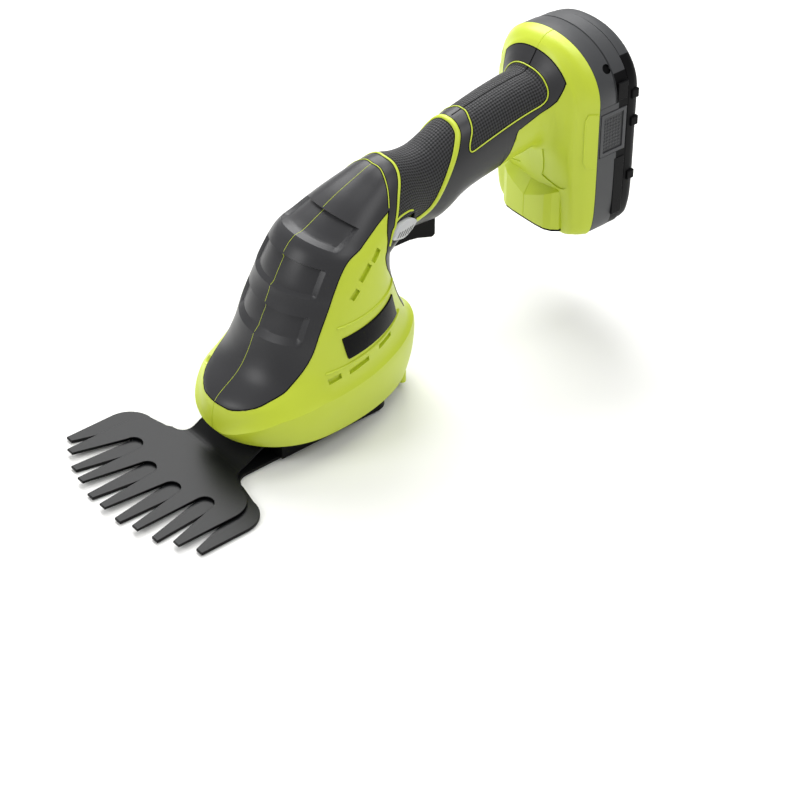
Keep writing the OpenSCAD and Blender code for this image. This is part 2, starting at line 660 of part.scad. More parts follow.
// Comb outlines: teeth along an arc, then round shoulders back to the neck
fan_share = 0.87;
shoulder_share = 0.53;
fillet_share = 0.27;
shoulder_r = 15;
neck_fillet_r = 8;
function tooth_a(k, n) = (k - (n - 1) / 2) * tooth_pitch;
function tip_at(a) = [pivot_x + comb_r * cos(a), comb_r * sin(a)];
function arc(c, r, a0, a1) =
  [for (i = [0:arc_steps]) let(a = lerp(a0, a1, i / arc_steps)) c + r * [cos(a), sin(a)]];
function tooth_tip(k, n) =
  let(p = tip_at(tooth_a(k, n))) [p - [0, tooth_tip_w / 2], p + [0, tooth_tip_w / 2]];
function tooth_root(k, n) =
  let(p = tip_at(tooth_a(k + 1 / 2, n)), c = [p[0] - tooth_depth, p[1] * fan_share])
  arc(c, tooth_root_r, 270, 90);
function comb_teeth(n) = [for (k = [0:n - 1]) each
  concat(tooth_tip(k, n), k < n - 1 ? tooth_root(k, n) : [])];
// Shoulder on the left side: a round corner, then a fillet into the neck
function shoulder(n, half) =
  let(side = tip_at(tooth_a(n - 1, n))[1] + tooth_tip_w / 2)
  concat(arc([pivot_x + comb_r * shoulder_share, side - shoulder_r], shoulder_r, 90, 180),
    arc([pivot_x + comb_r * fillet_share, half + neck_fillet_r], neck_fillet_r, 0, -90));
function mirrored(pts) = [for (i = [len(pts) - 1:-1:0]) [pts[i][0], -pts[i][1]]];
function comb_outline(n, half, tail) =
  concat(mirrored(shoulder(n, half)), comb_teeth(n), shoulder(n, half), tail, mirrored(tail));

cassette_back_x = drive_x - cassette_back;
sole_corner_r = 10;
sole_margin = 2;
lower_half_w = neck_half_w + sole_margin;
lower_tail = arc([cassette_back_x + sole_corner_r, lower_half_w - sole_corner_r], sole_corner_r, 90, 180);
// Places of the cassette screws, as shares of its rear length and half width
cassette_screw_shares = [[0.86, 0.6], [0.55, 0.6]];
cassette_screw_places = [for (s = cassette_screw_shares)
  [drive_x - cassette_back * s[0], cassette_half_w * s[1]]];
module lower_blade() color("#2f3032") difference() {
  linear_extrude(lower_blade_t) polygon(comb_outline(lower_teeth, lower_half_w, lower_tail));
  translate([pivot_x, 0, 0]) bore(pivot_r + run_gap, 0, lower_blade_t);
  both_sides() for (p = cassette_screw_places) translate(p) bore(screw_head_r + fit_gap, 0, lower_blade_t);
}

// Upper blade: flat comb, a sloping neck and a raised tail with the crank slot
tail_half_w = 13;
tail_end_gap = 8;
tail_waist = 3;
neck_foot_share = 0.14;
ramp_foot_share = 0.33;
ramp_head_share = 0.10;
tail_end = drive_x - throw - crank_pin_r - tail_end_gap;
ramp_foot = pivot_x + ramp_foot_share * comb_r;
ramp_head = pivot_x + ramp_head_share * comb_r;
blade_tip = pivot_x + comb_r;
upper_tail = concat(
  [[pivot_x + neck_foot_share * comb_r, neck_half_w], [pivot_x - tail_waist, tail_half_w + tail_waist]],
  arc([tail_end + tail_half_w / 2, tail_half_w / 2], tail_half_w / 2, 90, 180));
module upper_profile() polygon([
  [blade_tip + over, upper_low], [ramp_foot, upper_low], [ramp_head, tail_low], [tail_end - over, tail_low],
  [tail_end - over, tail_top], [ramp_head, tail_top], [ramp_foot, upper_low + upper_blade_t],
  [blade_tip + over, upper_low + upper_blade_t]]);
slot_r = crank_pin_r + open_gap;
slot_ends = [drive_x - throw, drive_x + open_gap];
module upper_blade() color("#3a3b3d") difference() {
  intersection() {
    linear_extrude(tail_top + over) polygon(comb_outline(upper_teeth, neck_half_w, upper_tail));
    rotate([90, 0, 0]) translate([0, 0, -comb_r]) linear_extrude(2 * comb_r) upper_profile();
  }
  translate([pivot_x, 0, 0]) bore(pivot_r + run_gap, tail_low, tail_top);
  block([slot_ends[0], -slot_r, tail_low - over], [slot_ends[1], slot_r, tail_top + over]);
  for (x = slot_ends) translate([x, 0, 0]) bore(slot_r, tail_low, tail_top);
}

// Cassette: base and cover that hold the blades and the crank
cassette_corner_r = 9;
cassette_nose = 2;
washer_r = 8;
sweep_margin = 7;
sweep_back_gap = 4;
crank_hub_r = 9;
crank_flange_r = 11.5;
sweep_half_w = tail_half_w + sweep_margin;
cassette_front = pivot_x + pivot_r + cassette_nose;
cassette_cover_front = pivot_x - washer_r - over;
module cassette_plan(front) {
  inner = cassette_half_w - cassette_corner_r;
  corner_x = cassette_back_x + cassette_corner_r;
  for (s = [-1, 1]) translate([corner_x, s * inner]) circle(r = cassette_corner_r);
  translate([cassette_back_x, -inner]) square([front - cassette_back_x, 2 * inner]);
  translate([corner_x, -cassette_half_w]) square([front - corner_x, 2 * cassette_half_w]);
}
screw_bite = cassette_cover_h / 2;
module cassette_base() color("#242527") difference() {
  translate([0, 0, lower_top]) linear_extrude(cassette_base_h) cassette_plan(cassette_front);
  translate([pivot_x, 0, 0]) bore(pivot_r + run_gap, lower_top, base_top);
  both_sides() for (p = cassette_screw_places) translate(p) bore(screw_r + run_gap, lower_top, base_top);
}
module cassette_cover() color("#3b3c3e") difference() {
  translate([0, 0, base_top]) linear_extrude(cover_top - base_top) cassette_plan(cassette_cover_front);
  block([tail_end - sweep_back_gap, -sweep_half_w, base_top - over], [pivot_x, sweep_half_w, cover_low]);
  translate([drive_x, 0, 0]) bore(crank_hub_r + run_gap, cover_low, cover_top);
  both_sides() for (p = cassette_screw_places) translate([p[0], p[1], base_top - over])
    cylinder(r = screw_r + run_gap, h = screw_bite + over);
}
module cassette_screws() color("silver") both_sides() for (p = cassette_screw_places) translate(p) {
  translate([0, 0, fit_gap]) cylinder(r = screw_head_r, h = lower_blade_t - fit_gap);
  translate([0, 0, lower_top]) cylinder(r = screw_r, h = base_top - lower_top + screw_bite - fit_gap);
}
nut_h = 3;
nut_r = 7;
module blade_pivot() color("#8f9295") translate([pivot_x, 0, fit_gap])
  cylinder(r = pivot_r, h = cover_low + nut_h - fit_gap + slide_gap);
module pivot_washer() color("#b9bbbd") translate([pivot_x, 0, 0]) difference() {
  translate([0, 0, tail_top + run_gap]) cylinder(r = washer_r, h = cover_low - tail_top - run_gap);
  bore(pivot_r + run_gap, tail_top, cover_low);
}
module pivot_nut() color("#8f9295") translate([pivot_x, 0, cover_low]) difference() {
  cylinder(r = nut_r, h = nut_h, $fn = 6);
  bore(pivot_r + run_gap, 0, nut_h);
}
module crank() color("#e6e4da") translate([drive_x, 0, 0]) difference() {
  union() {
    translate([0, 0, cover_low]) cylinder(r = crank_hub_r, h = crank_top - cover_low);
    translate([0, 0, cover_top + slide_gap / 2]) cylinder(r = crank_flange_r, h = crank_flange_t);
    translate([-throw, 0, tail_low + run_gap]) cylinder(r = crank_pin_r, h = cover_low - tail_low);
  }
  translate([0, 0, hex_low - slide_gap])
    cylinder(r = hex_r + slide_gap, h = crank_top - hex_low + slide_gap + over, $fn = 6);
}

// Trigger: a paddle under the front of the grip, hung on a cross pin
module trigger() color("#141415") translate([pin_x, trigger_w / 2, pin_z]) rotate([90, 0, 0]) difference() {
  linear_extrude(trigger_w) polygon([for (s = concat(trigger_nose_shares,
    [[0, trigger_top_share], [-1, trigger_tail_share]], trigger_under_shares))
    [s[0] * trigger_l, s[1] * trigger_drop]]);
  bore(trigger_pin_r + run_gap, 0, trigger_w);
}
module trigger_pin() color("silver") translate([pin_x, -pin_half_l, pin_z])
  rod_y(trigger_pin_r, 2 * pin_half_l);
trigger_spring_r = 2.4;
trigger_spring_wire = 0.8;
trigger_spring_share = 0.69;
spring_back = trigger_spring_share * trigger_l;
spring_low = trigger_face(spring_back - trigger_spring_r) + fit_gap;
module trigger_spring() color("silver") translate([pin_x - spring_back, 0, spring_low]) difference() {
  cylinder(r = trigger_spring_r, h = switch_low - spring_low);
  bore(trigger_spring_r - trigger_spring_wire, 0, switch_low - spring_low);
}

// Lock button: two leaves joined by a bar through the grip
module lock_leaf() translate([lock_x, lock_y, lock_z]) rotate([0, 0, lock_tilt]) rotate([90, 0, 0])
  translate([0, 0, -lock_t / 2]) linear_extrude(lock_t) polygon(lens(lock_l, lock_h));
module lock_button() color("#b9b9bc") {
  both_sides() lock_leaf();
  translate([lock_x, -lock_y, lock_z]) rod_y(lock_bar_r, 2 * lock_y);
}
lock_spring_front = lock_x - lock_bar_r - fit_gap;
lock_spring_back = lock_spring_front - lock_spring_l;
module lock_spring() color("silver") translate([lock_spring_back, 0, lock_z]) difference() {
  rod_x(lock_spring_r, lock_spring_l);
  translate([-over, 0, 0]) rod_x(lock_spring_r / 2, lock_spring_l + 2 * over);
}

// Switch with a tongue over the lock bar, a lug for the bar's spring and a plunger
plunger_w = 5;
plunger_share = 0.89;
plunger_back = plunger_share * trigger_l;
plunger_low = trigger_face(plunger_back - plunger_w / 2) + slide_gap;
plunger_seat = 3;
plunger_room = 8;
lug_half_w = 3;
tongue_low = lock_z + lock_bar_r + slide_gap;
module switch_body() color("#1d1d1f") difference() {
  union() {
    block([switch_back, -switch_half_w, switch_low], [switch_front, switch_half_w, switch_high]);
    block([switch_front - over, -switch_half_w, tongue_low],
      [lock_x + lock_bar_r, switch_half_w, switch_low + tongue_t]);
    block([lock_spring_back - tongue_t, -lug_half_w, lock_z - lock_spring_r],
      [lock_spring_back, lug_half_w, tongue_low + over]);
  }
  plunger_way(plunger_w / 2 + slide_gap, switch_low - over, switch_low + plunger_room);
}
module plunger_way(half, low, high) translate([pin_x - plunger_back, 0, 0])
  block([-half, -half, low], [half, half, high]);
module switch_plunger() color("#c23b2e") plunger_way(plunger_w / 2, plunger_low, switch_low + plunger_seat);
board_t = 1.6;
board_inset = 2;
board_half_w = switch_half_w - board_inset;
module control_board() color("#2d6b3c")
  block([switch_back + board_inset, -board_half_w, switch_high],
    [switch_front - board_inset, board_half_w, switch_high + board_t]);

// Leads from the terminals to the switch, and from the switch down to the motor
lead_r = 0.9;
lead_y = 5;
lead_rise = 1.4;
lead_ahead = 6;
lead_z = switch_low + tongue_t + lead_rise;
lead_x = motor_x - lead_ahead;
motor_cap_top = motor_top + motor_cap_t;
module leads() color("#a02822") both_sides() {
  translate([terminal_front, lead_y, stem_z]) rod_x(lead_r, switch_back - terminal_front);
  translate([switch_front, lead_y, lead_z]) rod_x(lead_r, lead_x - switch_front);
  translate([lead_x, lead_y, lead_z]) sphere(r = lead_r);
  translate([lead_x, lead_y, motor_cap_top]) cylinder(r = lead_r, h = lead_z - motor_cap_top);
}
terminal_first = 18;
terminal_last = 23;
module terminal_block() color("#1d1d1f") intersection() {
  body_core(wall + fit_gap, terminal_first, terminal_last);
  block([terminal_back, -body_w, 0], [terminal_front, body_w, 2 * body_h]);
}
module contact_pair(front, back) both_sides() translate([0, stem_r / 2, stem_z])
  block([back, -contact_t, -contact_h / 2], [front, contact_t, contact_h / 2]);
module dock_contacts() color("#c9a24a") contact_pair(terminal_back, stem_end + contact_t + slide_gap);
module battery_contacts() color("#c9a24a") contact_pair(stem_end + contact_t, stem_end);

// Battery: grey case with a step under the band, black rear cover and a stem
module case_form(front, step, back, d) {
  head_slice(step, back, -d);
  intersection() {
    head_slice(front, back, -d);
    block([back - over, -body_w, 0], [front + over, body_w, step_z - d]);
  }
}
seat_h = 8;
seat_t = 2;
spring_seat_y = tongue_in - fit_gap - latch_spring_l;
latch_web_back = latch_front - latch_web_l;
spring_x = (latch_front + latch_web_back) / 2;
case_boss_r = 3.4;
// Places of the two battery screws, as shares of the battery's width and the height
battery_screw_shares = [0.26, 1.0];
battery_screw_y = battery_screw_shares[0] * battery_w;
battery_screw_z = battery_screw_shares[1] * body_h;
battery_screw_head_back = battery_back + fit_gap;
battery_screw_tip = band_back - 2 * case_wall;
module case_bosses(front, back) both_sides() translate([back, battery_screw_y, battery_screw_z])
  rod_x(case_boss_r, front - back);
module case_bores() both_sides() translate([battery_back - over, battery_screw_y, battery_screw_z]) {
  rod_x(screw_r + run_gap, battery_screw_tip - battery_back + over + fit_gap);
  rod_x(screw_head_r + fit_gap, screw_head_h + fit_gap + over);
}
module battery_case() color("#47474a") difference() {
  union() {
    difference() {
      case_form(case_front, band_back - fit_gap, case_back, 0);
      case_form(case_front - case_wall, band_back - fit_gap - case_wall, case_back - over, case_wall);
    }
    case_bosses(band_back - case_wall, case_back);
    both_sides() block([latch_web_back, spring_seat_y - seat_t, latch_z - seat_h / 2],
      [case_front - case_wall + over, spring_seat_y, latch_z + seat_h / 2]);
  }
  translate([stem_cell_back - over, 0, stem_z])
    rod_x(cell_r + fit_gap, case_front - stem_cell_back + 2 * over);
  both_sides() {
    tongue_way(dock_x, latch_web_back - slide_gap);
    block([latch_back - slide_gap, tongue_out - slide_gap, latch_z - latch_h / 2 - slide_gap],
      [latch_front + slide_gap, battery_w, latch_z + latch_h / 2 + slide_gap]);
  }
  case_bores();
}
module battery_cover() color("#1b1b1d") difference() {
  union() {
    difference() {
      hull() {
        head_slice(case_back - fit_gap, battery_back + cover_edge, -cover_inset);
        head_slice(case_back - fit_gap, battery_back, -cover_edge);
      }
      head_slice(case_back + over, battery_back + cover_floor, -cover_inset - cover_wall);
    }
    case_bosses(case_back - fit_gap, battery_back + cover_floor - over);
  }
  case_bores();
}
module battery_stem() color("#2b2b2d") translate([case_front, 0, stem_z]) difference() {
  rod_x(stem_r, stem_end - case_front);
  translate([-over, 0, 0]) rod_x(cell_r + fit_gap, stem_end - case_front - stem_wall + over);
}
cell_pitch = 2 * cell_r + run_gap;
stack_room_share = 0.505;
stack_mid_share = 0.6558;
cell_count = floor(stack_room_share * body_h / cell_pitch);
stack_low = stack_mid_share * body_h - (cell_count - 1) / 2 * cell_pitch;
module battery_cells() color("#3f7f5a") {
  for (i = [0:cell_count - 1]) translate([cell_x, -cell_l / 2, stack_low + i * cell_pitch])
    rod_y(cell_r, cell_l);
  translate([stem_cell_back, 0, stem_z]) rod_x(cell_r, stem_cell_l);
}
module battery_screws() color("silver") both_sides()
  translate([battery_screw_head_back, battery_screw_y, battery_screw_z]) {
    rod_x(screw_head_r, screw_head_h);
    rod_x(screw_r, battery_screw_tip - battery_screw_head_back);
  }

module latch() color("#6e6e70") {
  block([latch_back, battery_w / 2 - case_wall, latch_z - latch_h / 2],
    [latch_front, battery_w / 2, latch_z + latch_h / 2]);
  block([latch_web_back, tongue_in, latch_z - latch_tongue_h / 2],
    [latch_front, battery_w / 2 - case_wall, latch_z + latch_tongue_h / 2]);
  block([latch_front, tongue_in, latch_z - latch_tongue_h / 2],
    [tongue_tip, tongue_out, latch_z + latch_tongue_h / 2]);
}
module latch_left() latch();
module latch_right() mirror([0, 1, 0]) latch();
module latch_springs() color("silver") both_sides() translate([spring_x, spring_seat_y, latch_z])
  difference() {
    rod_y(latch_spring_r, latch_spring_l);
    translate([0, -over, 0]) rod_y(latch_spring_r / 2, latch_spring_l + 2 * over);
  }

housing_left();
housing_right();
overmould_left();
overmould_right();
head_band();
dock_plate();
side_badges();
housing_screws();
motor_can();
motor_end_cap();
motor_rotor();
motor_pinion();
motor_screws();
gear_plate();
gear_cover();
gear_screws();
shaft_bushes();
drive_gear();
output_shaft();
lower_blade();
upper_blade();
cassette_base();
cassette_cover();
cassette_screws();
blade_pivot();
pivot_washer();
pivot_nut();
crank();
trigger();
trigger_pin();
trigger_spring();
lock_button();
lock_spring();
switch_body();
switch_plunger();
control_board();
leads();
terminal_block();
dock_contacts();
battery_case();
battery_cover();
battery_stem();
battery_cells();
battery_contacts();
battery_screws();
latch_left();
latch_right();
latch_springs();
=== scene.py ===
# Cordless grass shears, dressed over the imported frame. Metres, X forward, Y left, Z up.
import json
import math
import bmesh
import bpy
import numpy as np
from mathutils import Matrix, Vector


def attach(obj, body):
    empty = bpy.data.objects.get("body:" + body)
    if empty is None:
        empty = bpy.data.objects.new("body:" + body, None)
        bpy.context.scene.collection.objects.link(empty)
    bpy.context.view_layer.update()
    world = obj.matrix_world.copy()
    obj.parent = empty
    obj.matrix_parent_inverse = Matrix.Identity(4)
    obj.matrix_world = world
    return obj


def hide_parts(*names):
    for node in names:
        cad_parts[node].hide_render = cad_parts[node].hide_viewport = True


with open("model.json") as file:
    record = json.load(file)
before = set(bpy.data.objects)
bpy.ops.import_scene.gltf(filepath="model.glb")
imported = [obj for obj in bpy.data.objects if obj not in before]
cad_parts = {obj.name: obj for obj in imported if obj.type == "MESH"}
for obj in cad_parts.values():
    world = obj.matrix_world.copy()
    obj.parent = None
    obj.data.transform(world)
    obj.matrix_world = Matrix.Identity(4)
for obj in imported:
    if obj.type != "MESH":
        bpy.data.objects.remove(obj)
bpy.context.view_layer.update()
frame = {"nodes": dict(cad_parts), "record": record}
print("frame loaded:", len(frame["nodes"]), "nodes")

mm = 0.001


def toLinear(colour):
    # sRGB hex to the linear colour that a shader takes
    parts = [int(colour[i:i + 2], 16) / 255 for i in (1, 3, 5)]
    return [p / 12.92 if p <= 0.04045 else ((p + 0.055) / 1.055) ** 2.4 for p in parts] + [1.0]


def addNode(tree, kind, settings=None, links=None):
    # settings and links are keyed by socket name or number, or by a property of the node
    node = tree.nodes.new(kind)
    for key, value in (settings or {}).items():
        if isinstance(key, int) or key in node.inputs:
            node.inputs[key].default_value = value
        else:
            setattr(node, key, value)
    feed(tree, node, links or {})
    return node


def feed(tree, node, links):
    for key, source in links.items():
        tree.links.new(source, node.inputs[key])


def newMaterial(name, colour, sockets):
    material = bpy.data.materials.new(name)
    material.use_nodes = True
    shader = material.node_tree.nodes["Principled BSDF"]
    shader.inputs["Base Color"].default_value = toLinear(colour)
    for key, value in sockets.items():
        shader.inputs[key].default_value = value
    return material, material.node_tree, shader


def mouldedGrain(tree, shader, look):
    # tone and gloss wander over a hand's breadth, and a spark-eroded grain covers the whole face
    place = addNode(tree, "ShaderNodeTexCoord")
    wander = addNode(tree, "ShaderNodeTexNoise", {"Scale": 1 / (look["wander"] * mm), "Detail": 3.0},
                     {"Vector": place.outputs["Object"]})
    first, second = (toLinear(colour) for colour in look["tones"])
    tone = addNode(tree, "ShaderNodeMix", {"data_type": "RGBA", "A": first, "B": second},
                   {"Factor": wander.outputs["Fac"]})
    gloss = addNode(tree, "ShaderNodeMapRange", {"To Min": look["rough"][0], "To Max": look["rough"][1]},
                    {"Value": wander.outputs["Fac"]})
    grain = addNode(tree, "ShaderNodeTexNoise", {"Scale": 1 / (look["grain"] * mm), "Detail": 2.0},
                    {"Vector": place.outputs["Object"]})
    bump = addNode(tree, "ShaderNodeBump", {"Strength": look["bump"], "Distance": look["depth"] * mm},
                   {"Height": grain.outputs["Fac"]})
    feed(tree, shader, {"Base Color": tone.outputs["Result"], "Roughness": gloss.outputs["Result"],
                        "Normal": bump.outputs["Normal"]})
    return place, bump


# What most mouldings share: the grain's width and depth in millimetres, and how strongly it shows
mouldedLook = {"ior": 1.53, "glare": 0.5, "grain": 0.5, "depth": 0.03, "bump": 0.35}


def moulded(name, own):
    look = {**mouldedLook, **own}
    sockets = {"IOR": look["ior"], "Specular IOR Level": look["glare"]}
    material, tree, shader = newMaterial(name, look["tones"][0], sockets)
    mouldedGrain(tree, shader, look)
    return material


# ABS moulded in lime: a bright, slightly satin skin with a fine eroded grain
limeAbs = moulded("limeAbsMoulded", {"tones": ["#BBCB2C", "#C3D236"], "wander": 60, "rough": [0.34, 0.44]})
# ABS moulded in dark grey: the band and the battery case, a little duller
darkAbs = moulded("darkAbsMoulded", {
    "tones": ["#37383A", "#3F4042"], "wander": 45, "rough": [0.42, 0.54], "glare": 0.36, "depth": 0.04,
    "bump": 0.4})
# ABS moulded in black: deep, with only a faint highlight on the edges
blackAbs = moulded("blackAbsMoulded", {
    "tones": ["#0C0C0D", "#121213"], "wander": 40, "rough": [0.36, 0.48], "glare": 0.05})
# Polycarbonate plate, polished: an even, deep black
blackPlate = moulded("blackPolycarbonatePolished", {
    "tones": ["#0D0D0E", "#121213"], "wander": 30, "rough": [0.16, 0.24], "ior": 1.58, "glare": 0.05,
    "grain": 0.8, "depth": 0.01, "bump": 0.15})
# Acetal moulded in light grey: the lock leaf, waxy and pale
lightAcetal = moulded("lightAcetalMoulded", {
    "tones": ["#B4B5B8", "#C0C1C4"], "wander": 15, "rough": [0.34, 0.42], "ior": 1.48, "grain": 0.4,
    "depth": 0.02, "bump": 0.25})
# Nylon moulded in dark grey: the latch plates, dry and close to the case in tone
latchNylon = moulded("greyNylonMoulded", {
    "tones": ["#343538", "#3C3D40"], "wander": 20, "rough": [0.46, 0.58], "grain": 0.4})
# The same nylon, darker: painted shade on the latch's sunk field between its dots, and on the strips in the
# lock's slots
paintedShadeNylon = moulded("greyNylonPaintedShade", {
    "tones": ["#232426", "#2A2B2D"], "wander": 20, "rough": [0.46, 0.58], "grain": 0.4})
# Elastomer moulded over the shell: dark grey, soft sheen, no sharp highlight
elastomer = {"tones": ["#2D2D2F", "#353537"], "wander": 50, "ior": 1.5}
softSkin = moulded("greyElastomerMoulded", {
    **elastomer, "rough": [0.3, 0.42], "glare": 0.3, "grain": 0.6, "depth": 0.05, "bump": 0.4})
# Nylon, natural: the gear and the crank, off-white and waxy
naturalNylon = moulded("naturalNylonMoulded", {
    "tones": ["#DAD7CA", "#E4E1D6"], "wander": 25, "rough": [0.4, 0.5], "bump": 0.3})
# ABS moulded in red: the switch's plunger, an even colour with a soft gloss
redAbs = moulded("redAbsMoulded", {
    "tones": ["#B8352A", "#C43E30"], "wander": 15, "rough": [0.3, 0.4], "grain": 0.4, "depth": 0.02,
    "bump": 0.25})
# Epoxy glass board under lacquer: green with a slight gloss
boardLacquer = moulded("glassBoardLacquered", {
    "tones": ["#27633A", "#2E7044"], "wander": 8, "rough": [0.25, 0.4], "ior": 1.55, "grain": 0.3,
    "depth": 0.02, "bump": 0.3})
# Film shrunk over the cells: green, tight and glossy
cellFilm = moulded("cellFilmShrunk", {
    "tones": ["#37745A", "#408266"], "wander": 20, "rough": [0.2, 0.3], "grain": 2.0, "bump": 0.2})
# Silicone drawn over copper: the leads, red and soft
leadSilicone = moulded("redSiliconeExtruded", {
    "tones": ["#96251F", "#A32C25"], "wander": 10, "rough": [0.5, 0.6], "depth": 0.02, "bump": 0.3})

# mm; the real diamonds are about half this wide, and are drawn coarser so that they show
engraving = {"pitch": 3.3, "depth": 0.4, "bump": 0.8, "range": (-0.6, 0.5), "groove": "#161617",
             # groove and crown: painted shade in the grooves, painted light on the crowns
             "crown": "#3E3E40",
             "skin": {**mouldedLook, **elastomer, "glare": 0.22, "rough": [0.42, 0.54], "depth": 0.04,
                      "bump": 0.3}}


def engravedSkin():
    # the same elastomer with small raised diamonds, as the mould was engraved: dark lines of painted shade
    # between matt crowns painted lighter
    look = engraving["skin"]
    sockets = {"IOR": look["ior"], "Specular IOR Level": look["glare"]}
    material, tree, shader = newMaterial("greyElastomerDiamonds", look["tones"][0], sockets)
    place, grain = mouldedGrain(tree, shader, look)
    split = addNode(tree, "ShaderNodeSeparateXYZ", links={"Vector": place.outputs["UV"]})
    turn = 2 * math.pi / engraving["pitch"]
    waves = []
    for sign in (1, -1):
        along = addNode(tree, "ShaderNodeMath", {"operation": "MULTIPLY_ADD", 1: sign},
                        {0: split.outputs["Y"], 2: split.outputs["X"]})
        angle = addNode(tree, "ShaderNodeMath", {"operation": "MULTIPLY", 1: turn}, {0: along.outputs[0]})
        waves.append(addNode(tree, "ShaderNodeMath", {"operation": "SINE"}, {0: angle.outputs[0]}))
    diamonds = addNode(tree, "ShaderNodeMath", {"operation": "MULTIPLY"},
                       {0: waves[0].outputs[0], 1: waves[1].outputs[0]})
    low, high = engraving["range"]
    height = addNode(tree, "ShaderNodeMapRange", {"From Min": low, "From Max": high},
                     {"Value": diamonds.outputs[0]})
    # painted shade in the grooves and painted light on the crowns, following the diamonds' height
    groove, crown = toLinear(engraving["groove"]), toLinear(engraving["crown"])
    tone = addNode(tree, "ShaderNodeMix", {"data_type": "RGBA", "A": groove, "B": crown},
                   {"Factor": height.outputs["Result"]})
    bump = addNode(tree, "ShaderNodeBump",
                   {"Strength": engraving["bump"], "Distance": engraving["depth"] * mm},
                   {"Height": height.outputs["Result"], "Normal": grain.outputs["Normal"]})
    feed(tree, shader, {"Base Color": tone.outputs["Result"], "Normal": bump.outputs["Normal"]})
    return material


diamondSkin = engravedSkin()
# What most metals share; stretch below 1 draws the marks out along that axis
metalLook = {"metallic": 1.0, "glare": 0.5, "stretch": (1, 1, 1), "bump": 0.35}


def metal(name, own):
    # brushed or cast metal: fine lines or pits from how it was worked, and gloss that changes with them
    look = {**metalLook, **own}
    sockets = {"Metallic": look["metallic"], "Specular IOR Level": look["glare"]}
    material, tree, shader = newMaterial(name, look["colour"], sockets)
    place = addNode(tree, "ShaderNodeTexCoord")
    stretch = addNode(tree, "ShaderNodeMapping", {"Scale": look["stretch"]},
                      {"Vector": place.outputs["Object"]})
    marks = addNode(tree, "ShaderNodeTexNoise", {"Scale": 1 / (look["grain"] * mm), "Detail": 4.0},
                    {"Vector": stretch.outputs["Vector"]})
    gloss = addNode(tree, "ShaderNodeMapRange", {"To Min": look["rough"][0], "To Max": look["rough"][1]},
                    {"Value": marks.outputs["Fac"]})
    bump = addNode(tree, "ShaderNodeBump", {"Strength": look["bump"], "Distance": look["depth"] * mm},
                   {"Height": marks.outputs["Fac"]})
    feed(tree, shader, {"Roughness": gloss.outputs["Result"], "Normal": bump.outputs["Normal"]})
    return material


# Steel under a baked non-stick coat: near black, with a soft shine. Only the coat shows, so not metallic
coatedSteel = metal("bladeSteelCoated", {
    "colour": "#131415", "metallic": 0.0, "glare": 0.15, "rough": [0.28, 0.4], "grain": 0.6, "depth": 0.02})
# The same coat on the cut sides of the blades, blacker: painted shade on these upright faces
shadedSideSteel = metal("bladeSteelShadedSides", {
    "colour": "#050506", "metallic": 0.0, "glare": 0.12, "rough": [0.3, 0.4], "grain": 0.6, "depth": 0.02})
# Steel, zinc plated: screws, pins and springs, a cool pale grey with a soft shine
zincSteel = metal("screwSteelZincPlated", {
    "colour": "#B9BCC0", "rough": [0.28, 0.42], "grain": 0.4, "depth": 0.01})
# Steel drawn into the motor can: fine lines along its length
drawnSteel = metal("motorSteelDrawn", {
    "colour": "#8C8F93", "rough": [0.3, 0.45], "grain": 0.6, "depth": 0.01, "stretch": (1, 1, 0.05)})
# Aluminium, die cast: the gear plates, dull and faintly pitted
castAluminium = metal("plateAluminiumCast", {
    "colour": "#8A8D92", "rough": [0.45, 0.62], "grain": 0.8, "depth": 0.04})
# Bronze, sintered: the bushes, warm and matt
sinteredBronze = metal("bushBronzeSintered", {
    "colour": "#B98D4F", "rough": [0.45, 0.6], "grain": 0.3, "depth": 0.03})
# Brass, stamped: the contacts and the pinion, yellow and smooth
stampedBrass = metal("contactBrassStamped", {
    "colour": "#C9A24A", "rough": [0.25, 0.38], "grain": 0.5, "depth": 0.01})
# Copper wire, wound: the rotor, red-brown with lines along the turns
woundCopper = metal("rotorCopperWound", {
    "colour": "#B0703A", "rough": [0.35, 0.5], "grain": 0.5, "depth": 0.05, "stretch": (1, 1, 0.1)})
print("materials made")

slotLooks = {"lime_shell": limeAbs, "grip_skin": softSkin, "dark_case": darkAbs, "black_case": blackAbs,
             "light_button": lightAcetal, "latch_grey": latchNylon, "coated_steel": coatedSteel,
             "steel": zincSteel, "motor_steel": drawnSteel, "cast_plate": castAluminium,
             "bronze": sinteredBronze, "brass": stampedBrass, "nylon": naturalNylon,
             "copper_rotor": woundCopper, "red_plastic": redAbs, "board_green": boardLacquer,
             "cell_sleeve": cellFilm, "lead_red": leadSilicone}
for part in frame["record"]["subparts"]:
    cadObject = frame["nodes"][part["node"]]
    cadObject.data.materials.clear()
    cadObject.data.materials.append(slotLooks[part["material_slot"]])


def addObject(name, data):
    item = bpy.data.objects.new(name, data)
    bpy.context.scene.collection.objects.link(item)
    return item


def addSolid(name, solid):
    # a solid is its points and its faces
    mesh = bpy.data.meshes.new(name)
    mesh.from_pydata([tuple(point) for point in solid[0]], [], solid[1])
    mesh.validate()
    return addObject(name, mesh)


def makePiece(name, solid, carrier, slot, replaced=None, looks=()):
    # it takes its slot's material, unless it is given its own
    piece = addSolid(name, solid)
    for material in looks or [slotLooks[slot]]:
        piece.data.materials.append(material)
    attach(piece, carrier)
    if replaced:
        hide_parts(replaced)
    return piece


def fixNormals(mesh):
    # turns the faces of closed solids outward
    cleaner = bmesh.new()
    cleaner.from_mesh(mesh)
    bmesh.ops.recalc_face_normals(cleaner, faces=cleaner.faces)
    cleaner.to_mesh(mesh)
    cleaner.free()


def smoothFaces(piece, angle):
    piece.data.shade_smooth()
    piece.data.set_sharp_from_angle(angle=math.radians(angle))


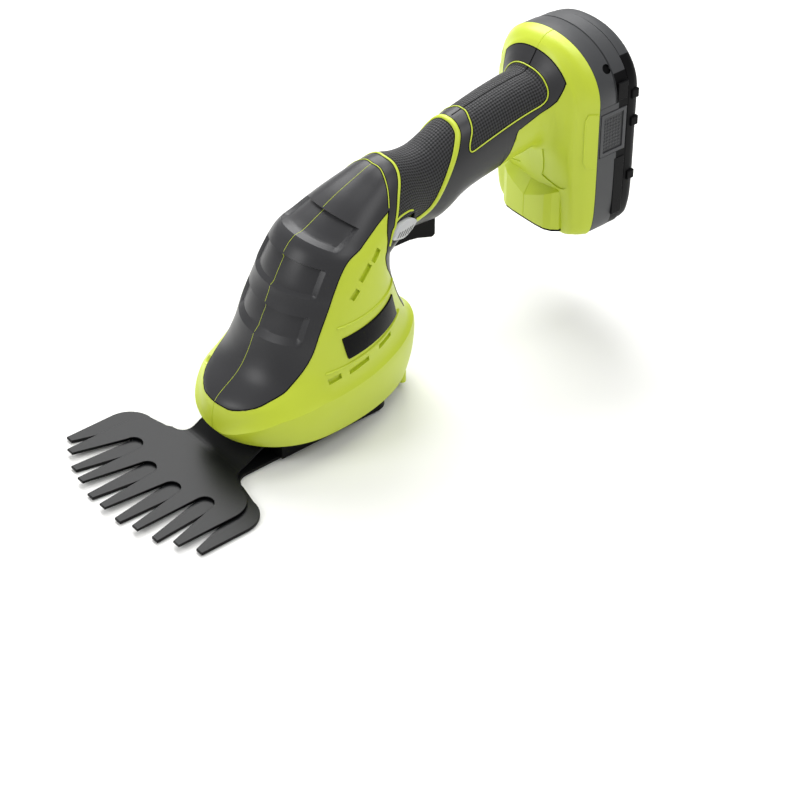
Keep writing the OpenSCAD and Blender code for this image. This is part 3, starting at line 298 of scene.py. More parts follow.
def softenEdges(piece, width, segments=2, angle=40):
    # a moulded or ground radius along every sharp edge
    fixNormals(piece.data)
    bevel = piece.modifiers.new("edgeRadius", "BEVEL")
    bevel.width = width
    bevel.segments = segments
    bevel.limit_method = "ANGLE"
    bevel.angle_limit = math.radians(angle)
    bevel.harden_normals = False
    piece.data.shade_smooth()
    even = piece.modifiers.new("evenNormals", "WEIGHTED_NORMAL")
    even.keep_sharp = True


def paintFaces(piece, isSecond):
    # the faces that pass the test take the piece's second material
    for face in piece.data.polygons:
        face.material_index = int(isSecond(face))


def combine(piece, tool, operation):
    # cuts the tool away or joins it on, and keeps the result as the piece's own mesh
    change = piece.modifiers.new("combine", "BOOLEAN")
    change.operation, change.solver, change.object = operation, "EXACT", tool
    bpy.context.view_layer.update()
    graph = bpy.context.evaluated_depsgraph_get()
    mesh = bpy.data.meshes.new_from_object(piece.evaluated_get(graph))
    piece.modifiers.clear()
    piece.data = mesh
    bpy.data.objects.remove(tool)


def cutAway(piece, *cutters):
    # cutters are closed solids that don't meet each other
    tool = addSolid("cutter", gather(cutters))
    fixNormals(tool.data)
    combine(piece, tool, "DIFFERENCE")


def mirrored(solid):
    return [(p[0], -p[1], p[2]) for p in solid[0]], [face[::-1] for face in solid[1]]


def gather(solids, both=False):
    # several closed solids as one, on both sides of the tool where asked
    points, faces = [], []
    for solid in solids:
        for part in (solid, mirrored(solid)) if both else (solid,):
            faces += [[i + len(points) for i in face] for face in part[1]]
            points += [tuple(point) for point in part[0]]
    return points, faces


def circle(radius, steps):
    return [(radius * math.cos(a), radius * math.sin(a)) for a in np.linspace(0, 2 * math.pi, steps + 1)[:-1]]


def prism(outline, start, push):
    # a flat outline of points, pushed along a vector into a closed solid
    count = len(outline)
    base = [Vector(start) + Vector(p) for p in outline]
    faces = [list(range(count))[::-1], list(range(count, 2 * count))]
    faces += [[i, (i + 1) % count, count + (i + 1) % count, count + i] for i in range(count)]
    return base + [p + Vector(push) for p in base], faces


def rodSolid(start, push, radius, steps):
    # a round bar, pushed along any line that is square to X
    across = Vector((1, 0, 0))
    rise = Vector(push).normalized().cross(across)
    return prism([across * a + rise * b for a, b in circle(radius, steps)], start, push)


def boxSolid(size, place):
    ends, size = (-0.5, 0.5), Vector(size)
    corners = [place @ (size * Vector((i, j, k))) for k in ends for j in ends for i in ends]
    return corners, [[0, 2, 3, 1], [4, 5, 7, 6], [0, 1, 5, 4], [2, 6, 7, 3], [0, 4, 6, 2], [1, 3, 7, 5]]


def blockSolid(low, high):
    low, high = Vector(low), Vector(high)
    return boxSolid(high - low, Matrix.Translation((low + high) / 2))


def ringSolid(rings):
    # closed solid through rings of equal count, capped at both ends
    rows, columns = len(rings), len(rings[0])
    faces = []
    for i in range(rows - 1):
        here, after = i * columns, (i + 1) * columns
        for j in range(columns):
            k = (j + 1) % columns
            faces.append([here + j, here + k, after + k, after + j])
    faces += [list(range(columns))[::-1], [(rows - 1) * columns + j for j in range(columns)]]
    return np.concatenate(rings), faces


def gridFaces(rows, columns, start=0, flip=False):
    faces = []
    for i in range(rows - 1):
        for j in range(columns - 1):
            a = start + i * columns + j
            face = [a, a + columns, a + columns + 1, a + 1]
            faces.append(face[::-1] if flip else face)
    return faces


def slabSolid(outer, inner):
    # closed solid between two grids of points
    rows, columns = outer.shape[:2]
    count = rows * columns
    faces = gridFaces(rows, columns) + gridFaces(rows, columns, count, True)
    rim = [i * columns for i in range(rows)] + [(rows - 1) * columns + j for j in range(1, columns)]
    rim += [i * columns + columns - 1 for i in range(rows - 2, -1, -1)] + list(range(columns - 2, 0, -1))
    for k, a in enumerate(rim):
        b = rim[(k + 1) % len(rim)]
        faces.append([b, a, a + count, b + count])
    return np.concatenate([outer.reshape(-1, 3), inner.reshape(-1, 3)]), faces


def smoothStep(x):
    x = np.clip(x, 0, 1)
    return x * x * (3 - 2 * x)


def curveThrough(points, where):
    # smooth curve through evenly numbered points
    points = np.asarray(points, float)
    i = np.clip(np.floor(where).astype(int), 0, len(points) - 2)
    t = (where - i)[:, None]
    p, q, r, s = (points[np.clip(i + k, 0, len(points) - 1)] for k in (-1, 0, 1, 2))
    return (2 * q + (r - p) * t + (2 * p - 5 * q + 4 * r - s) * t ** 2 + (3 * q - p - 3 * r + s) * t ** 3) / 2


# The body is one loft. Each station gives, as shares of length, height and half width: the top point (x, z),
# the bottom point (x, z), the half width, the height of the widest place, the roundness above and below it,
# and how far the inside is set back from the head's front wall
body = {
    "length": 200 * mm, "height": 150 * mm, "halfWidth": 40 * mm, "wall": 3 * mm,
    "stations": [
        (0.292, 0.097, -0.315, 0.057, 0.930, 0.645, 2.00, 1.95, 0),
        (0.304, 0.133, -0.332, 0.147, 0.958, 0.645, 2.00, 1.95, 0),
        (0.304, 0.180, -0.332, 0.253, 0.983, 0.640, 2.00, 1.95, 0),
        (0.288, 0.240, -0.310, 0.307, 0.960, 0.620, 2.00, 1.95, 0),
        (0.220, 0.307, -0.283, 0.380, 0.935, 0.580, 2.05, 1.95, 0),
        (0.183, 0.373, -0.268, 0.433, 0.920, 0.560, 2.10, 1.95, 0),
        (0.150, 0.470, -0.250, 0.500, 0.890, 0.540, 2.15, 2.00, 0),
        (0.113, 0.567, -0.240, 0.553, 0.850, 0.520, 2.15, 2.00, 0),
        (0.093, 0.633, -0.238, 0.587, 0.815, 0.500, 2.15, 2.00, 0),
        (0.043, 0.733, -0.242, 0.613, 0.750, 0.500, 2.15, 2.00, 0),
        (-0.015, 0.777, -0.255, 0.620, 0.700, 0.500, 2.10, 2.00, 0),
        (-0.065, 0.812, -0.268, 0.623, 0.655, 0.500, 2.10, 2.00, 0),
        (-0.115, 0.845, -0.285, 0.623, 0.605, 0.500, 2.10, 2.00, 0),
        (-0.175, 0.877, -0.305, 0.620, 0.550, 0.500, 2.10, 2.00, 0),
        (-0.222, 0.900, -0.325, 0.613, 0.505, 0.500, 2.10, 2.00, 0),
        (-0.270, 0.909, -0.345, 0.607, 0.465, 0.500, 2.10, 2.10, 0),
        (-0.325, 0.893, -0.380, 0.600, 0.430, 0.500, 2.10, 2.10, 0),
        (-0.375, 0.895, -0.415, 0.597, 0.413, 0.500, 2.10, 2.10, 0),
        (-0.425, 0.920, -0.450, 0.613, 0.408, 0.500, 2.10, 2.10, 0),
        (-0.475, 0.947, -0.485, 0.643, 0.413, 0.500, 2.10, 2.10, 0),
        (-0.530, 0.965, -0.530, 0.667, 0.420, 0.500, 2.15, 2.15, 0),
        (-0.625, 0.988, -0.615, 0.693, 0.433, 0.500, 2.25, 2.25, 0),
        (-0.700, 1.000, -0.690, 0.710, 0.450, 0.500, 2.30, 2.30, 0),
        (-0.750, 1.007, -0.750, 0.713, 0.475, 0.500, 2.30, 2.30, 0),
        (-0.775, 1.047, -0.775, 0.653, 0.600, 0.580, 2.30, 3.00, 0.5),
        (-0.790, 1.080, -0.792, 0.507, 0.725, 0.660, 2.20, 5.00, 1),
        (-0.801, 1.100, -0.800, 0.380, 0.770, 0.710, 2.10, 8.00, 1),
        (-0.820, 1.119, -0.820, 0.363, 0.863, 0.725, 2.10, 9.00, 0.5),
        (-0.845, 1.125, -0.845, 0.360, 0.950, 0.731, 2.10, 9.00, 0)]}
stationTable = np.array(body["stations"])
stationScale = np.array([body["length"], body["height"]] * 2 + [body["halfWidth"], 1, 1, 1, 1])
lastStation = len(stationTable) - 1


def bodyPoint(u, v, grow=0.0, inside=0.0):
    # u counts the stations; v goes from the top (0) down the left side to the bottom (1), negative on the
    # right. grow moves the point outward, and inside is the wall that the set-back is a share of
    u, v, grow = (np.asarray(a, float) for a in np.broadcast_arrays(u, v, grow))
    stations = curveThrough(stationTable, u.ravel()) * stationScale
    topX, topZ, lowX, lowZ, halfWidth, widest, upperRound, lowerRound, setBack = stations.T
    angle, grown = math.pi * np.abs(v).ravel(), grow.ravel()
    dx, dz = topX - lowX, topZ - lowZ
    span = np.hypot(dx, dz)
    isUpper = angle < math.pi / 2
    power = 2 / np.where(isUpper, upperRound, lowerRound)
    half = np.where(isUpper, 1 - widest, widest) * span + grown
    reach = np.where(isUpper, half, -half) * np.abs(np.cos(angle)) ** power
    x = lowX + dx * widest + dx / span * reach - inside * setBack
    y = np.sign(v).ravel() * (halfWidth + grown) * np.abs(np.sin(angle)) ** power
    z = lowZ + dz * widest + dz / span * reach
    return np.stack([x, y, z], -1).reshape(u.shape + (3,))


def bodyNormal(u, v):
    du, dv = 0.02, 0.004   # short steps along and round the body
    along = bodyPoint(u + du, v) - bodyPoint(u - du, v)
    around = bodyPoint(u, v + dv) - bodyPoint(u, v - dv)
    normal = np.cross(around, along)
    return normal / np.linalg.norm(normal, axis=-1, keepdims=True)


def onBody(u, v, side):
    # a place on the body: local X along side, local Z along the outward normal
    normal = Vector(bodyNormal(u, v))
    across = Vector(side) - normal * normal.dot(Vector(side))
    across.normalize()
    turn = Matrix((across, normal.cross(across), normal)).transposed().to_4x4()
    return Matrix.Translation(Vector(bodyPoint(u, v))) @ turn


def patchGrid(corners, steps):
    # stations and shares over a four-cornered patch of the body
    a, b, c, d = (np.array(corner) for corner in corners)
    s, t = np.meshgrid(np.linspace(0, 1, steps), np.linspace(0, 1, steps), indexing="ij")
    s, t = s[..., None], t[..., None]
    path = (a * (1 - t) + b * t) * (1 - s) + (d * (1 - t) + c * t) * s
    return path[..., 0], path[..., 1]


# Edges of the soft skin, as stations (U) and shares (V), and the bed that the shell has under it
skin = {"start": 2.83, "end": 24.83, "tip": 12.75, "proud": 0.25 * mm, "depth": 2.1 * mm,
        "saddleU": [2.83, 2.9, 3.17, 3.67, 5.5, 8.33, 9.83, 12.75],
        "saddleV": [0.10, 0.145, 0.20, 0.256, 0.311, 0.344, 0.375, 0.365],
        "backU": [3.2, 5.67, 8.5, 9.8, 10.9, 12.0, 12.75],
        "backV": [0.90, 0.844, 0.678, 0.60, 0.53, 0.44, 0.365], "midU": [12.75, 19.0, 24.83],
        "midV": [0.365, 0.36, 0.20], "endU": [20.80, 20.92, 21.33, 22.5, 23.67, 24.83],
        "endV": [1.0, 0.722, 0.467, 0.42, 0.389, 0.289]}
skinBed = {"gap": 0.15 * mm, "margin": 0.03, "run": 0.2, "pastTip": 0.3, "pastStart": 0.25}


def skinEdges(u):
    # the share where the saddle ends, where the back strip starts, and where the skin ends at the bottom
    middle = np.interp(u, skin["midU"], skin["midV"])
    upper = np.where(u < skin["tip"], np.interp(u, skin["saddleU"], skin["saddleV"]), middle)
    lower = np.where(u < skin["tip"], np.interp(u, skin["backU"], skin["backV"]), middle)
    return upper, lower, np.interp(u, skin["endU"], skin["endV"])


def underSkin(u, v):
    # 1 where the shell lies under the soft skin and 0 where it shows, with a short slope between
    upper, lower, end = skinEdges(u)
    margin, run = skinBed["margin"], skinBed["run"]
    beforeEnd = smoothStep((end - margin - v) / margin)
    under = smoothStep((upper - margin - v) / margin) + smoothStep((v - lower - margin) / margin) * beforeEnd
    under = np.where(u > skin["tip"] + skinBed["pastTip"], beforeEnd, under)
    under = under * smoothStep((u - skin["start"] - skinBed["pastStart"]) / run)
    return np.clip(under * smoothStep((skin["end"] - run - u) / run), 0, 1)


# Three sunk panels across the saddle: first and last station, and the share where each ends. The lower wall
# leans back and catches the light, the upper wall is steep
pockets = {"depth": 1.95 * mm, "lowWall": 0.2, "highWall": 0.06, "endWall": 0.03,
           "places": [(5.67, 6.67, 0.25), (7.5, 8.67, 0.262), (9.4, 11.05, 0.285)]}


def pocketEnd(u):
    # the share where the panels end, carried on between them
    middles = [(first + last) / 2 for first, last, _ in pockets["places"]]
    return np.interp(u, middles, [reach for _, _, reach in pockets["places"]])


def pocketDepth(u, v):
    sunk = np.zeros(np.broadcast(u, v).shape)
    inside = np.clip((pocketEnd(u) - np.abs(v)) / pockets["endWall"], 0, 1)
    for first, last, _ in pockets["places"]:
        rise = np.clip((u - first) / pockets["lowWall"], 0, 1)
        fall = np.clip((last - u) / pockets["highWall"], 0, 1)
        sunk = np.maximum(sunk, np.minimum(rise, fall) * inside)
    return pockets["depth"] * sunk


# Lower lime band: it stands proud below a crease round the base, and dies away at the nose
crease = {"v": [0, 0.078, 0.167, 0.311, 0.478, 0.622, 0.767, 1],
          "u": [0.7, 1.0, 1.67, 2.42, 2.75, 2.5, 2.42, 2.42], "proud": 2.2 * mm, "run": 0.85, "noseV": 0.14,
          "noseShare": 0.35, "rows": 14, "top": 4}
shellGrid = {"perStation": 6, "round": 84, "parting": 0.003, "groove": 0.35 * mm}


def shellRows(v):
    # stations of the shell's grid, of which one line follows the crease, and the crease's own stations
    ridge = np.interp(v, crease["v"], crease["u"])
    step = np.linspace(0, 1, crease["rows"] + 1)[:, None]
    count = shellGrid["perStation"]
    rest = np.arange(crease["top"] * count + 1, lastStation * count + 1)[:, None] / count
    rest = np.broadcast_to(rest, (len(rest), v.shape[1]))
    return np.concatenate([ridge * step, ridge + (crease["top"] - ridge) * step[1:], rest]), ridge


def shellSolid():
    inset = shellGrid["parting"]
    v = np.concatenate([[0], np.linspace(inset, 1 - inset, shellGrid["round"]), [1]])[None, :]
    u, ridge = shellRows(v)
    v = np.broadcast_to(v, u.shape)
    above = np.clip(1 - (u - ridge) / crease["run"], 0, 1) ** 2
    nose = np.interp(v, [0, crease["noseV"]], [crease["noseShare"], 1])
    grow = crease["proud"] * nose * np.where(u < ridge, u / ridge, above)
    grow = grow - (skin["depth"] + skinBed["gap"]) * underSkin(u, v)
    grow[:, [0, -1]] -= shellGrid["groove"]
    return slabSolid(bodyPoint(u, v, grow), bodyPoint(u, v, -body["wall"], body["wall"]))


# Vents: the way that each row runs, then station, share and length of its slots
vents = {"height": 3.2 * mm, "deep": 3.6 * mm,
         "rows": [{"along": (-0.76, -0.18, 0.63),
                   "slots": [(7.58, 0.456, 6 * mm), (8.58, 0.489, 10 * mm), (9.58, 0.511, 7.5 * mm)]},
                  {"along": (-0.99, -0.15, 0.10),
                   "slots": [(3.67, 0.467, 8 * mm), (3.58, 0.567, 14.5 * mm), (3.67, 0.678, 12 * mm)]}]}
triggerSlot = {"low": (-85.4 * mm, -8.4 * mm, 78 * mm), "high": (-46.6 * mm, 8.4 * mm, 100.6 * mm)}
# Screw wells on the right half, as (x, z) in millimetres
screwWells = {"places": [(43, 37.5), (-57, 45), (-37, 120), (-162.8, 144), (-98.8, 106.05)],
              "radius": 2.9 * mm, "floor": 9 * mm, "reach": 45 * mm, "steps": 32}
# Leaf of the lock: place and tilt of its outer face, then rows of (along, low, ridge, high) in millimetres.
# Its thin tail slides over the grip, so the slot ends under it
lockLeaf = {"x": -50 * mm, "y": 23.4 * mm, "z": 103.05 * mm, "tilt": 16.2, "travel": 4, "gap": 0.4,
            "deep": 3.2, "tail": 0.5, "tailAt": -5.5, "crown": 0.35, "slant": 0.34, "edge": 0.15 * mm,
            "barR": 2.2 * mm, "barSteps": 24, "cutFrom": 12 * mm, "cutDeep": 30 * mm,
            "rows": [(-8.3, 3.3, 3.5, 3.6), (-7.8, 1.6, 3.1, 4.4), (-6.1, -1.4, 3.3, 5.9),
                     (-3.2, -3.6, 3.7, 7.7), (-1, -4, 4, 8.2), (0.4, -3.8, 4.2, 8.5), (4, -2.4, 4.75, 8.8),
                     (6.2, -1.2, 5.1, 8.5), (7.6, -0.8, 5.3, 8), (9.8, 0.5, 5.5, 6.7), (11.5, 1.8, 4.2, 4.8),
                     (13, 3.1, 3.2, 3.3)],
            "slots": [6.2, 3.8, 1.4, -1.0, -3.3, -5.3], "slotHalf": 0.5, "slotRun": (0.16, 0.8),
            "slotLean": 0.9, "slotRise": 0.06}
# Two shallow panels in the head's front wall, by their corners, and the feet under the rear of the rim
frontPanel = {"corners": [(23.4, 0.82), (24.5, 0.965), (25.05, 0.66), (24.6, 0.57)], "sink": 0.6 * mm,
              "proud": 2 * mm, "steps": 12}
heelFoot = {"v": 0.84, "height": 5.4 * mm, "radius": 2.2 * mm, "root": 2 * mm, "edge": 0.5 * mm, "steps": 32}


def ventCutters():
    return [boxSolid((length, vents["height"], vents["deep"]), onBody(u, v, row["along"]))
            for row in vents["rows"] for u, v, length in row["slots"]]


def triggerCutter():
    return blockSolid(triggerSlot["low"], triggerSlot["high"])


def wellCutters():
    reach, push = screwWells["reach"], (0, screwWells["reach"] - screwWells["floor"], 0)
    return [rodSolid((x * mm, -reach, z * mm), push, screwWells["radius"], screwWells["steps"])
            for x, z in screwWells["places"]]


def lockCutter():
    # the deep part of the leaf drawn out by its travel, cut in from the side
    gap = lockLeaf["gap"]
    deep = [row for row in lockLeaf["rows"] if row[0] > lockLeaf["tailAt"]]
    first = (deep[0][0] - lockLeaf["travel"] - gap, *deep[0][1:])
    rows = [first] + deep + [(deep[-1][0] + gap, *deep[-1][1:])]
    outline = [(row[0], row[1] - gap) for row in rows] + [(row[0], row[3] + gap) for row in rows[::-1]]
    outline = [(lockLeaf["x"] + x * mm, 0, lockLeaf["z"] + z * mm) for x, z in outline]
    return prism(outline, (0, lockLeaf["cutFrom"], 0), (0, lockLeaf["cutDeep"], 0))


def panelCutter():
    u, v = patchGrid(frontPanel["corners"], frontPanel["steps"])
    here, normal = bodyPoint(u, v), bodyNormal(u, v)
    return slabSolid(here + normal * frontPanel["proud"], here - normal * frontPanel["sink"])


def buildShell():
    solid = shellSolid()
    cutters = ventCutters() + [lockCutter(), triggerCutter(), panelCutter()]
    left = makePiece("housingLeft", solid, "shell", "lime_shell", "housing_left")
    cutAway(left, *cutters)
    right = makePiece("housingRight", mirrored(solid), "shell", "lime_shell", "housing_right")
    cutAway(right, *[mirrored(cutter) for cutter in cutters], *wellCutters())
    for piece in (left, right):
        smoothFaces(piece, angle=16)


def buildFeet():
    x, y, z = bodyPoint(0, heelFoot["v"], -body["wall"] / 2)
    push = (0, 0, heelFoot["height"] + heelFoot["root"])
    foot = rodSolid((x, y, z - heelFoot["height"]), push, heelFoot["radius"], heelFoot["steps"])
    piece = makePiece("heelFeet", gather([foot], True), "shell", "lime_shell")
    softenEdges(piece, heelFoot["edge"], segments=3)


buildShell()
print("housing halves made")

# Lines of lime that run over the skin, as (station, share) points, with width and rise
limeLines = {
    "firstRing": {"width": 0.6 * mm, "rise": 0.3 * mm,
                  "points": [(14.17, 0), (14.17, 0.1), (13.67, 0.233), (12.83, 0.352)]},
    "secondRing": {"width": 1.5 * mm, "rise": 0.5 * mm,
                   "points": [(15, 0), (15, 0.122), (14.67, 0.233), (13.92, 0.333), (12.38, 0.482),
                              (11.88, 0.506), (11.13, 0.546), (10.5, 0.578)]},
    "thirdRing": {"width": 3.0 * mm, "rise": 0.8 * mm,
                  "points": [(19.1, 0), (19.1, 0.06), (19.06, 0.13), (18.9, 0.215), (18.25, 0.333),
                             (17.17, 0.456), (15.83, 0.578), (14.88, 0.627), (14.08, 0.633)]},
    "lockFrame": {"width": 1.0 * mm, "rise": 0.5 * mm,
                  "points": [(12.43, 0.472), (12.86, 0.470), (13.49, 0.483), (13.95, 0.496), (14.2, 0.51)]},
    "panelLine": {"width": 0.8 * mm, "rise": 0.4 * mm,
                  "points": [(20, 0), (20, 0.05), (19.92, 0.122), (19.75, 0.244), (19.36, 0.344),
                             (19.42, 0.392), (20, 0.398), (21.5, 0.378), (22.7, 0.358), (23.2, 0.30),
                             (23.35, 0.18), (23.35, 0)]},
    "saddleSeam": {"width": 0.24 * mm, "rise": 0.1 * mm, "points": [(2.85, 0), (6, 0), (10, 0), (14.1, 0)]}}
# Dark gaps: beside the lime lines, along the grip's top, and round the soft skin, each along one of its edges
lineGap = {"wider": 0.9 * mm, "rise": 0.1 * mm, "without": ("saddleSeam", "lockFrame")}
gripSeam = {"points": [(19.4, 0), (21, 0), (23, 0), (24.75, 0)], "width": 0.8 * mm, "rise": 0.2 * mm}
skinGap = {"width": 0.7 * mm, "rise": 0.16 * mm, "steps": 3, "places": 36, "edges": {
    "saddleGap": ("saddle", [(2.83, 0), (2.83, 0.05)], []), "backGap": ("back", [], []),
    "endGap": ("end", [], [(24.83, 0.19), (24.83, 0.09), (24.83, 0)])}}
# Lime ribs above and below the side plate: their stations at the same shares
sideRibs = {"width": 1.2 * mm, "rise": 0.9 * mm, "shares": [0.40, 0.52, 0.66, 0.80],
            "stations": {"upperRib": [6.15, 6.2, 6.28, 6.3], "lowerRib": [4.15, 4.1, 4.05, 4.1]}}
bead = {"steps": 40, "arch": 9, "sink": 0.6 * mm}
# Engraved zones: between the second and third rings, and inside the rear panel's line
zones = {"ringsEnd": 0.63, "panelEnd": 23.35, "frontV": [0, 0.122, 0.244, 0.344, 0.4],
         "frontU": [20, 19.92, 19.75, 19.36, 19.42], "lowU": [19.4, 20, 21.5, 22.7, 23.2, 23.35],
         "lowV": [0.392, 0.398, 0.378, 0.358, 0.30, 0.18]}
skinGrid = {"rows": 177, "near": 0.03, "extraRows": {20.86, 21.0, 21.1, 21.2}, "saddle": 51, "back": 40,
            "breaks": [0, 0.7, 0.76, 1], "wallShares": (0.7, 0.85), "measureAt": 12, "digits": 7}


ringShares = {name: np.array(limeLines[name]["points"]).T[::-1] for name in ("secondRing", "thirdRing")}


def isDiamond(u, v):
    second, third = (np.interp(v, *ringShares[name]) for name in ("secondRing", "thirdRing"))
    between = second < u < third and v < zones["ringsEnd"]
    panelFront = np.interp(v, zones["frontV"], zones["frontU"])
    return between or (panelFront < u < zones["panelEnd"] and v < np.interp(u, zones["lowU"], zones["lowV"]))


def skinRows():
    # stations where the skin is drawn: even steps, and close rows at the sunk panels' walls and the ends
    rows = set(np.round(np.linspace(skin["start"], skin["end"], skinGrid["rows"]), 3))
    for first, last, _ in pockets["places"]:
        rows = {r for r in rows if min(abs(r - first), abs(r - last)) > skinGrid["near"]}
        rows |= {first, round(first + pockets["lowWall"], 3), round(last - pockets["highWall"], 3), last}
    rows |= set(skin["endU"][:3]) | skinGrid["extraRows"]
    return np.array(sorted(r for r in rows if skin["start"] <= r <= skin["end"]))


def skinShares(stations):
    # shares across the saddle, with columns at the panels' end walls, and then across the back strip
    upper, lower, end = skinEdges(stations)
    top, low = np.minimum(upper, end), np.minimum(lower, end)
    inWall, outWall = (share * top for share in skinGrid["wallShares"])
    reach = pocketEnd(stations)
    walls = [np.minimum(reach - pockets["endWall"], inWall), np.minimum(reach, outWall)]
    breaks = np.concatenate([np.zeros(top.shape), *walls, top], 1)
    across = np.linspace(0, 1, skinGrid["saddle"])
    saddle = np.stack([np.interp(across, skinGrid["breaks"], row) for row in breaks])
    return np.concatenate([saddle, low + (end - low) * np.linspace(0, 1, skinGrid["back"])[None, :]], 1)


def skinPlaces(outer):
    # millimetres along and round the skin for each of its outer points, for the engraved diamonds
    line = outer[:, skinGrid["measureAt"]]
    along = np.cumsum(np.r_[0, np.linalg.norm(np.diff(line, axis=0), axis=1)]) / mm
    steps = np.linalg.norm(np.diff(outer, axis=1), axis=2)
    around = np.cumsum(np.c_[np.zeros(len(outer)), steps], 1) / mm
    spots = zip(outer.reshape(-1, 3), np.repeat(along, outer.shape[1]), around.ravel())
    return {tuple(np.round(point, skinGrid["digits"])): (a, b) for point, a, b in spots}


def buildSkin():
    stations = skinRows()[:, None]
    v = skinShares(stations)
    u = np.broadcast_to(stations, v.shape)
    outer = bodyPoint(u, v, skin["proud"] - pocketDepth(u, v))
    inner = bodyPoint(u, v, -skin["depth"])
    split = skinGrid["saddle"]
    solids, looks = [], []
    for part, start in ((slice(split), skin["start"]), (slice(split, None), skin["backU"][0])):
        used = stations[:, 0] >= start
        solids.append(slabSolid(outer[used][:, part], inner[used][:, part]))
        partU, partV = u[used][:, part].ravel(), v[used][:, part].ravel()
        for face in solids[-1][1]:
            isOuter = max(face) < len(partU)
            looks.append(int(isOuter and isDiamond(np.mean(partU[face]), np.mean(partV[face]))))
    solid, places = gather(solids), skinPlaces(outer)
    for name, node, flip in (("skinLeft", "overmould_left", False), ("skinRight", "overmould_right", True)):
        shape, slot = (mirrored(solid), mirrored(lockCutter())) if flip else (solid, lockCutter())
        piece = makePiece(name, shape, "shell", "grip_skin", node, [softSkin, diamondSkin])
        piece.data.polygons.foreach_set("material_index", looks)
        layer = piece.data.uv_layers.new(name="skinMm")
        for loop in piece.data.loops:
            point = np.round(solid[0][loop.vertex_index], skinGrid["digits"])
            layer.data[loop.index].uv = places.get(tuple(point), (0, 0))
        cutAway(piece, slot, triggerCutter())
        smoothFaces(piece, angle=22)


def ribbon(name, line, slot, lift=0.0, mirror=True):
    # a rounded bead along a curve on the body
    points = np.array(line["points"], float)
    steps = line.get("steps", bead["steps"]) * (len(points) - 1)
    u, v = curveThrough(points, np.linspace(0, len(points) - 1, steps + 1)).T
    v = np.maximum(v, 0)
    centre, normal = bodyPoint(u, v, lift - pocketDepth(u, v)), bodyNormal(u, v)
    across = np.cross(normal, np.gradient(centre, axis=0))
    across /= np.linalg.norm(across, axis=1, keepdims=True)
    half, sink = line["width"] / 2, bead["sink"]
    arch = [(-half * math.cos(a), line["rise"] * math.sin(a)) for a in np.linspace(0, math.pi, bead["arch"])]
    section = [(-half, -sink)] + arch + [(half, -sink)]
    solid = ringSolid(np.stack([centre + across * aside + normal * rise for aside, rise in section], 1))
    for side, shape in (("Left", solid), ("Right", mirrored(solid))) if mirror else (("", solid),):
        piece = makePiece(name + side, shape, "shell", slot)
        fixNormals(piece.data)
        smoothFaces(piece, angle=50)


def buildLines():
    for name, line in limeLines.items():
        ribbon(name, line, "lime_shell", skin["proud"], mirror=name != "saddleSeam")
        if name not in lineGap["without"]:
            gap = {**line, "width": line["width"] + lineGap["wider"], "rise": lineGap["rise"]}
            ribbon(name + "Gap", gap, "black_case", skin["proud"])
    ribbon("gripSeam", gripSeam, "black_case", skin["proud"], mirror=False)
    for name, (edge, before, after) in skinGap["edges"].items():
        edgeU, edgeV = skin[edge + "U"], skin[edge + "V"]
        stations = np.linspace(edgeU[0], edgeU[-1], skinGap["places"])
        points = before + list(zip(stations, np.interp(stations, edgeU, edgeV))) + after
        ribbon(name, {**skinGap, "points": points}, "black_case", skin["proud"] / 2)
    for name, stations in sideRibs["stations"].items():
        ribbon(name, {**sideRibs, "points": list(zip(stations, sideRibs["shares"]))}, "lime_shell")


buildSkin()
print("soft skin made")
buildFeet()
buildLines()
print("lime lines made")

# Bare plate on each side, given by its four corners on the body
badge = {"corners": [(5.67, 0.433), (5.83, 0.744), (4.25, 0.767), (4.5, 0.489)], "rise": 0.8 * mm,
         "sink": 0.4 * mm, "edge": 0.4 * mm, "steps": 16}


def buildBadges():
    u, v = patchGrid(badge["corners"], badge["steps"])
    plate = slabSolid(bodyPoint(u, v, badge["rise"]), bodyPoint(u, v, -badge["sink"]))
    piece = makePiece("sidePlates", gather([plate], True), "shell", "black_case", "side_badges", [blackPlate])
    softenEdges(piece, badge["edge"], segments=3)


buildBadges()
print("side plates made")

# Bare lime pad beside each latch: stations that it spans, its heights, and the run of its slanting corners
sidePad = {"u": (26.72, 27.9), "v": 0.5, "low": 101.5 * mm, "high": 134.5 * mm, "corner": 4 * mm, "run": 0.3,
           "rise": 0.7 * mm, "sink": 0.8 * mm, "edge": 0.3 * mm, "steps": 14}


def buildSidePads():
    u = np.linspace(*sidePad["u"], sidePad["steps"])
    edge = bodyPoint(u, sidePad["v"])[:, :2]
    run = np.gradient(edge, axis=0)
    out = np.stack([run[:, 1], -run[:, 0]], 1)
    out /= np.linalg.norm(out, axis=1, keepdims=True)
    cut = sidePad["corner"] * np.clip(1 - (u - u[0]) / sidePad["run"], 0, 1)
    share = np.linspace(0, 1, sidePad["steps"])[None, :]
    z = (sidePad["low"] + cut)[:, None] * (1 - share) + (sidePad["high"] - cut)[:, None] * share
    grids = []
    for lift in (sidePad["rise"], -sidePad["sink"]):
        flat = edge + out * lift
        grids.append(np.stack([np.broadcast_to(flat[:, k:k + 1], z.shape) for k in (0, 1)] + [z], -1))
    piece = makePiece("sidePads", gather([slabSolid(*grids)], True), "shell", "lime_shell")
    softenEdges(piece, sidePad["edge"], segments=3)


buildSidePads()

# Head and battery: rings of one outline, an arch on straight sides, and a space that holds all of it
head = {"width": 76 * mm, "steps": 40, "back": -230 * mm, "front": -100 * mm, "half": 60 * mm,
        "top": 250 * mm}


def headRing(x, inset):
    v = np.linspace(-1, 1, 2 * head["steps"] + 1)[:-1]
    ring = bodyPoint(float(lastStation), v, -inset)
    lastHalf = stationTable[-1][4] * body["halfWidth"]
    ring[:, 1] *= (head["width"] - 2 * inset) / (2 * (lastHalf - inset))
    ring[:, 0] = x
    return ring


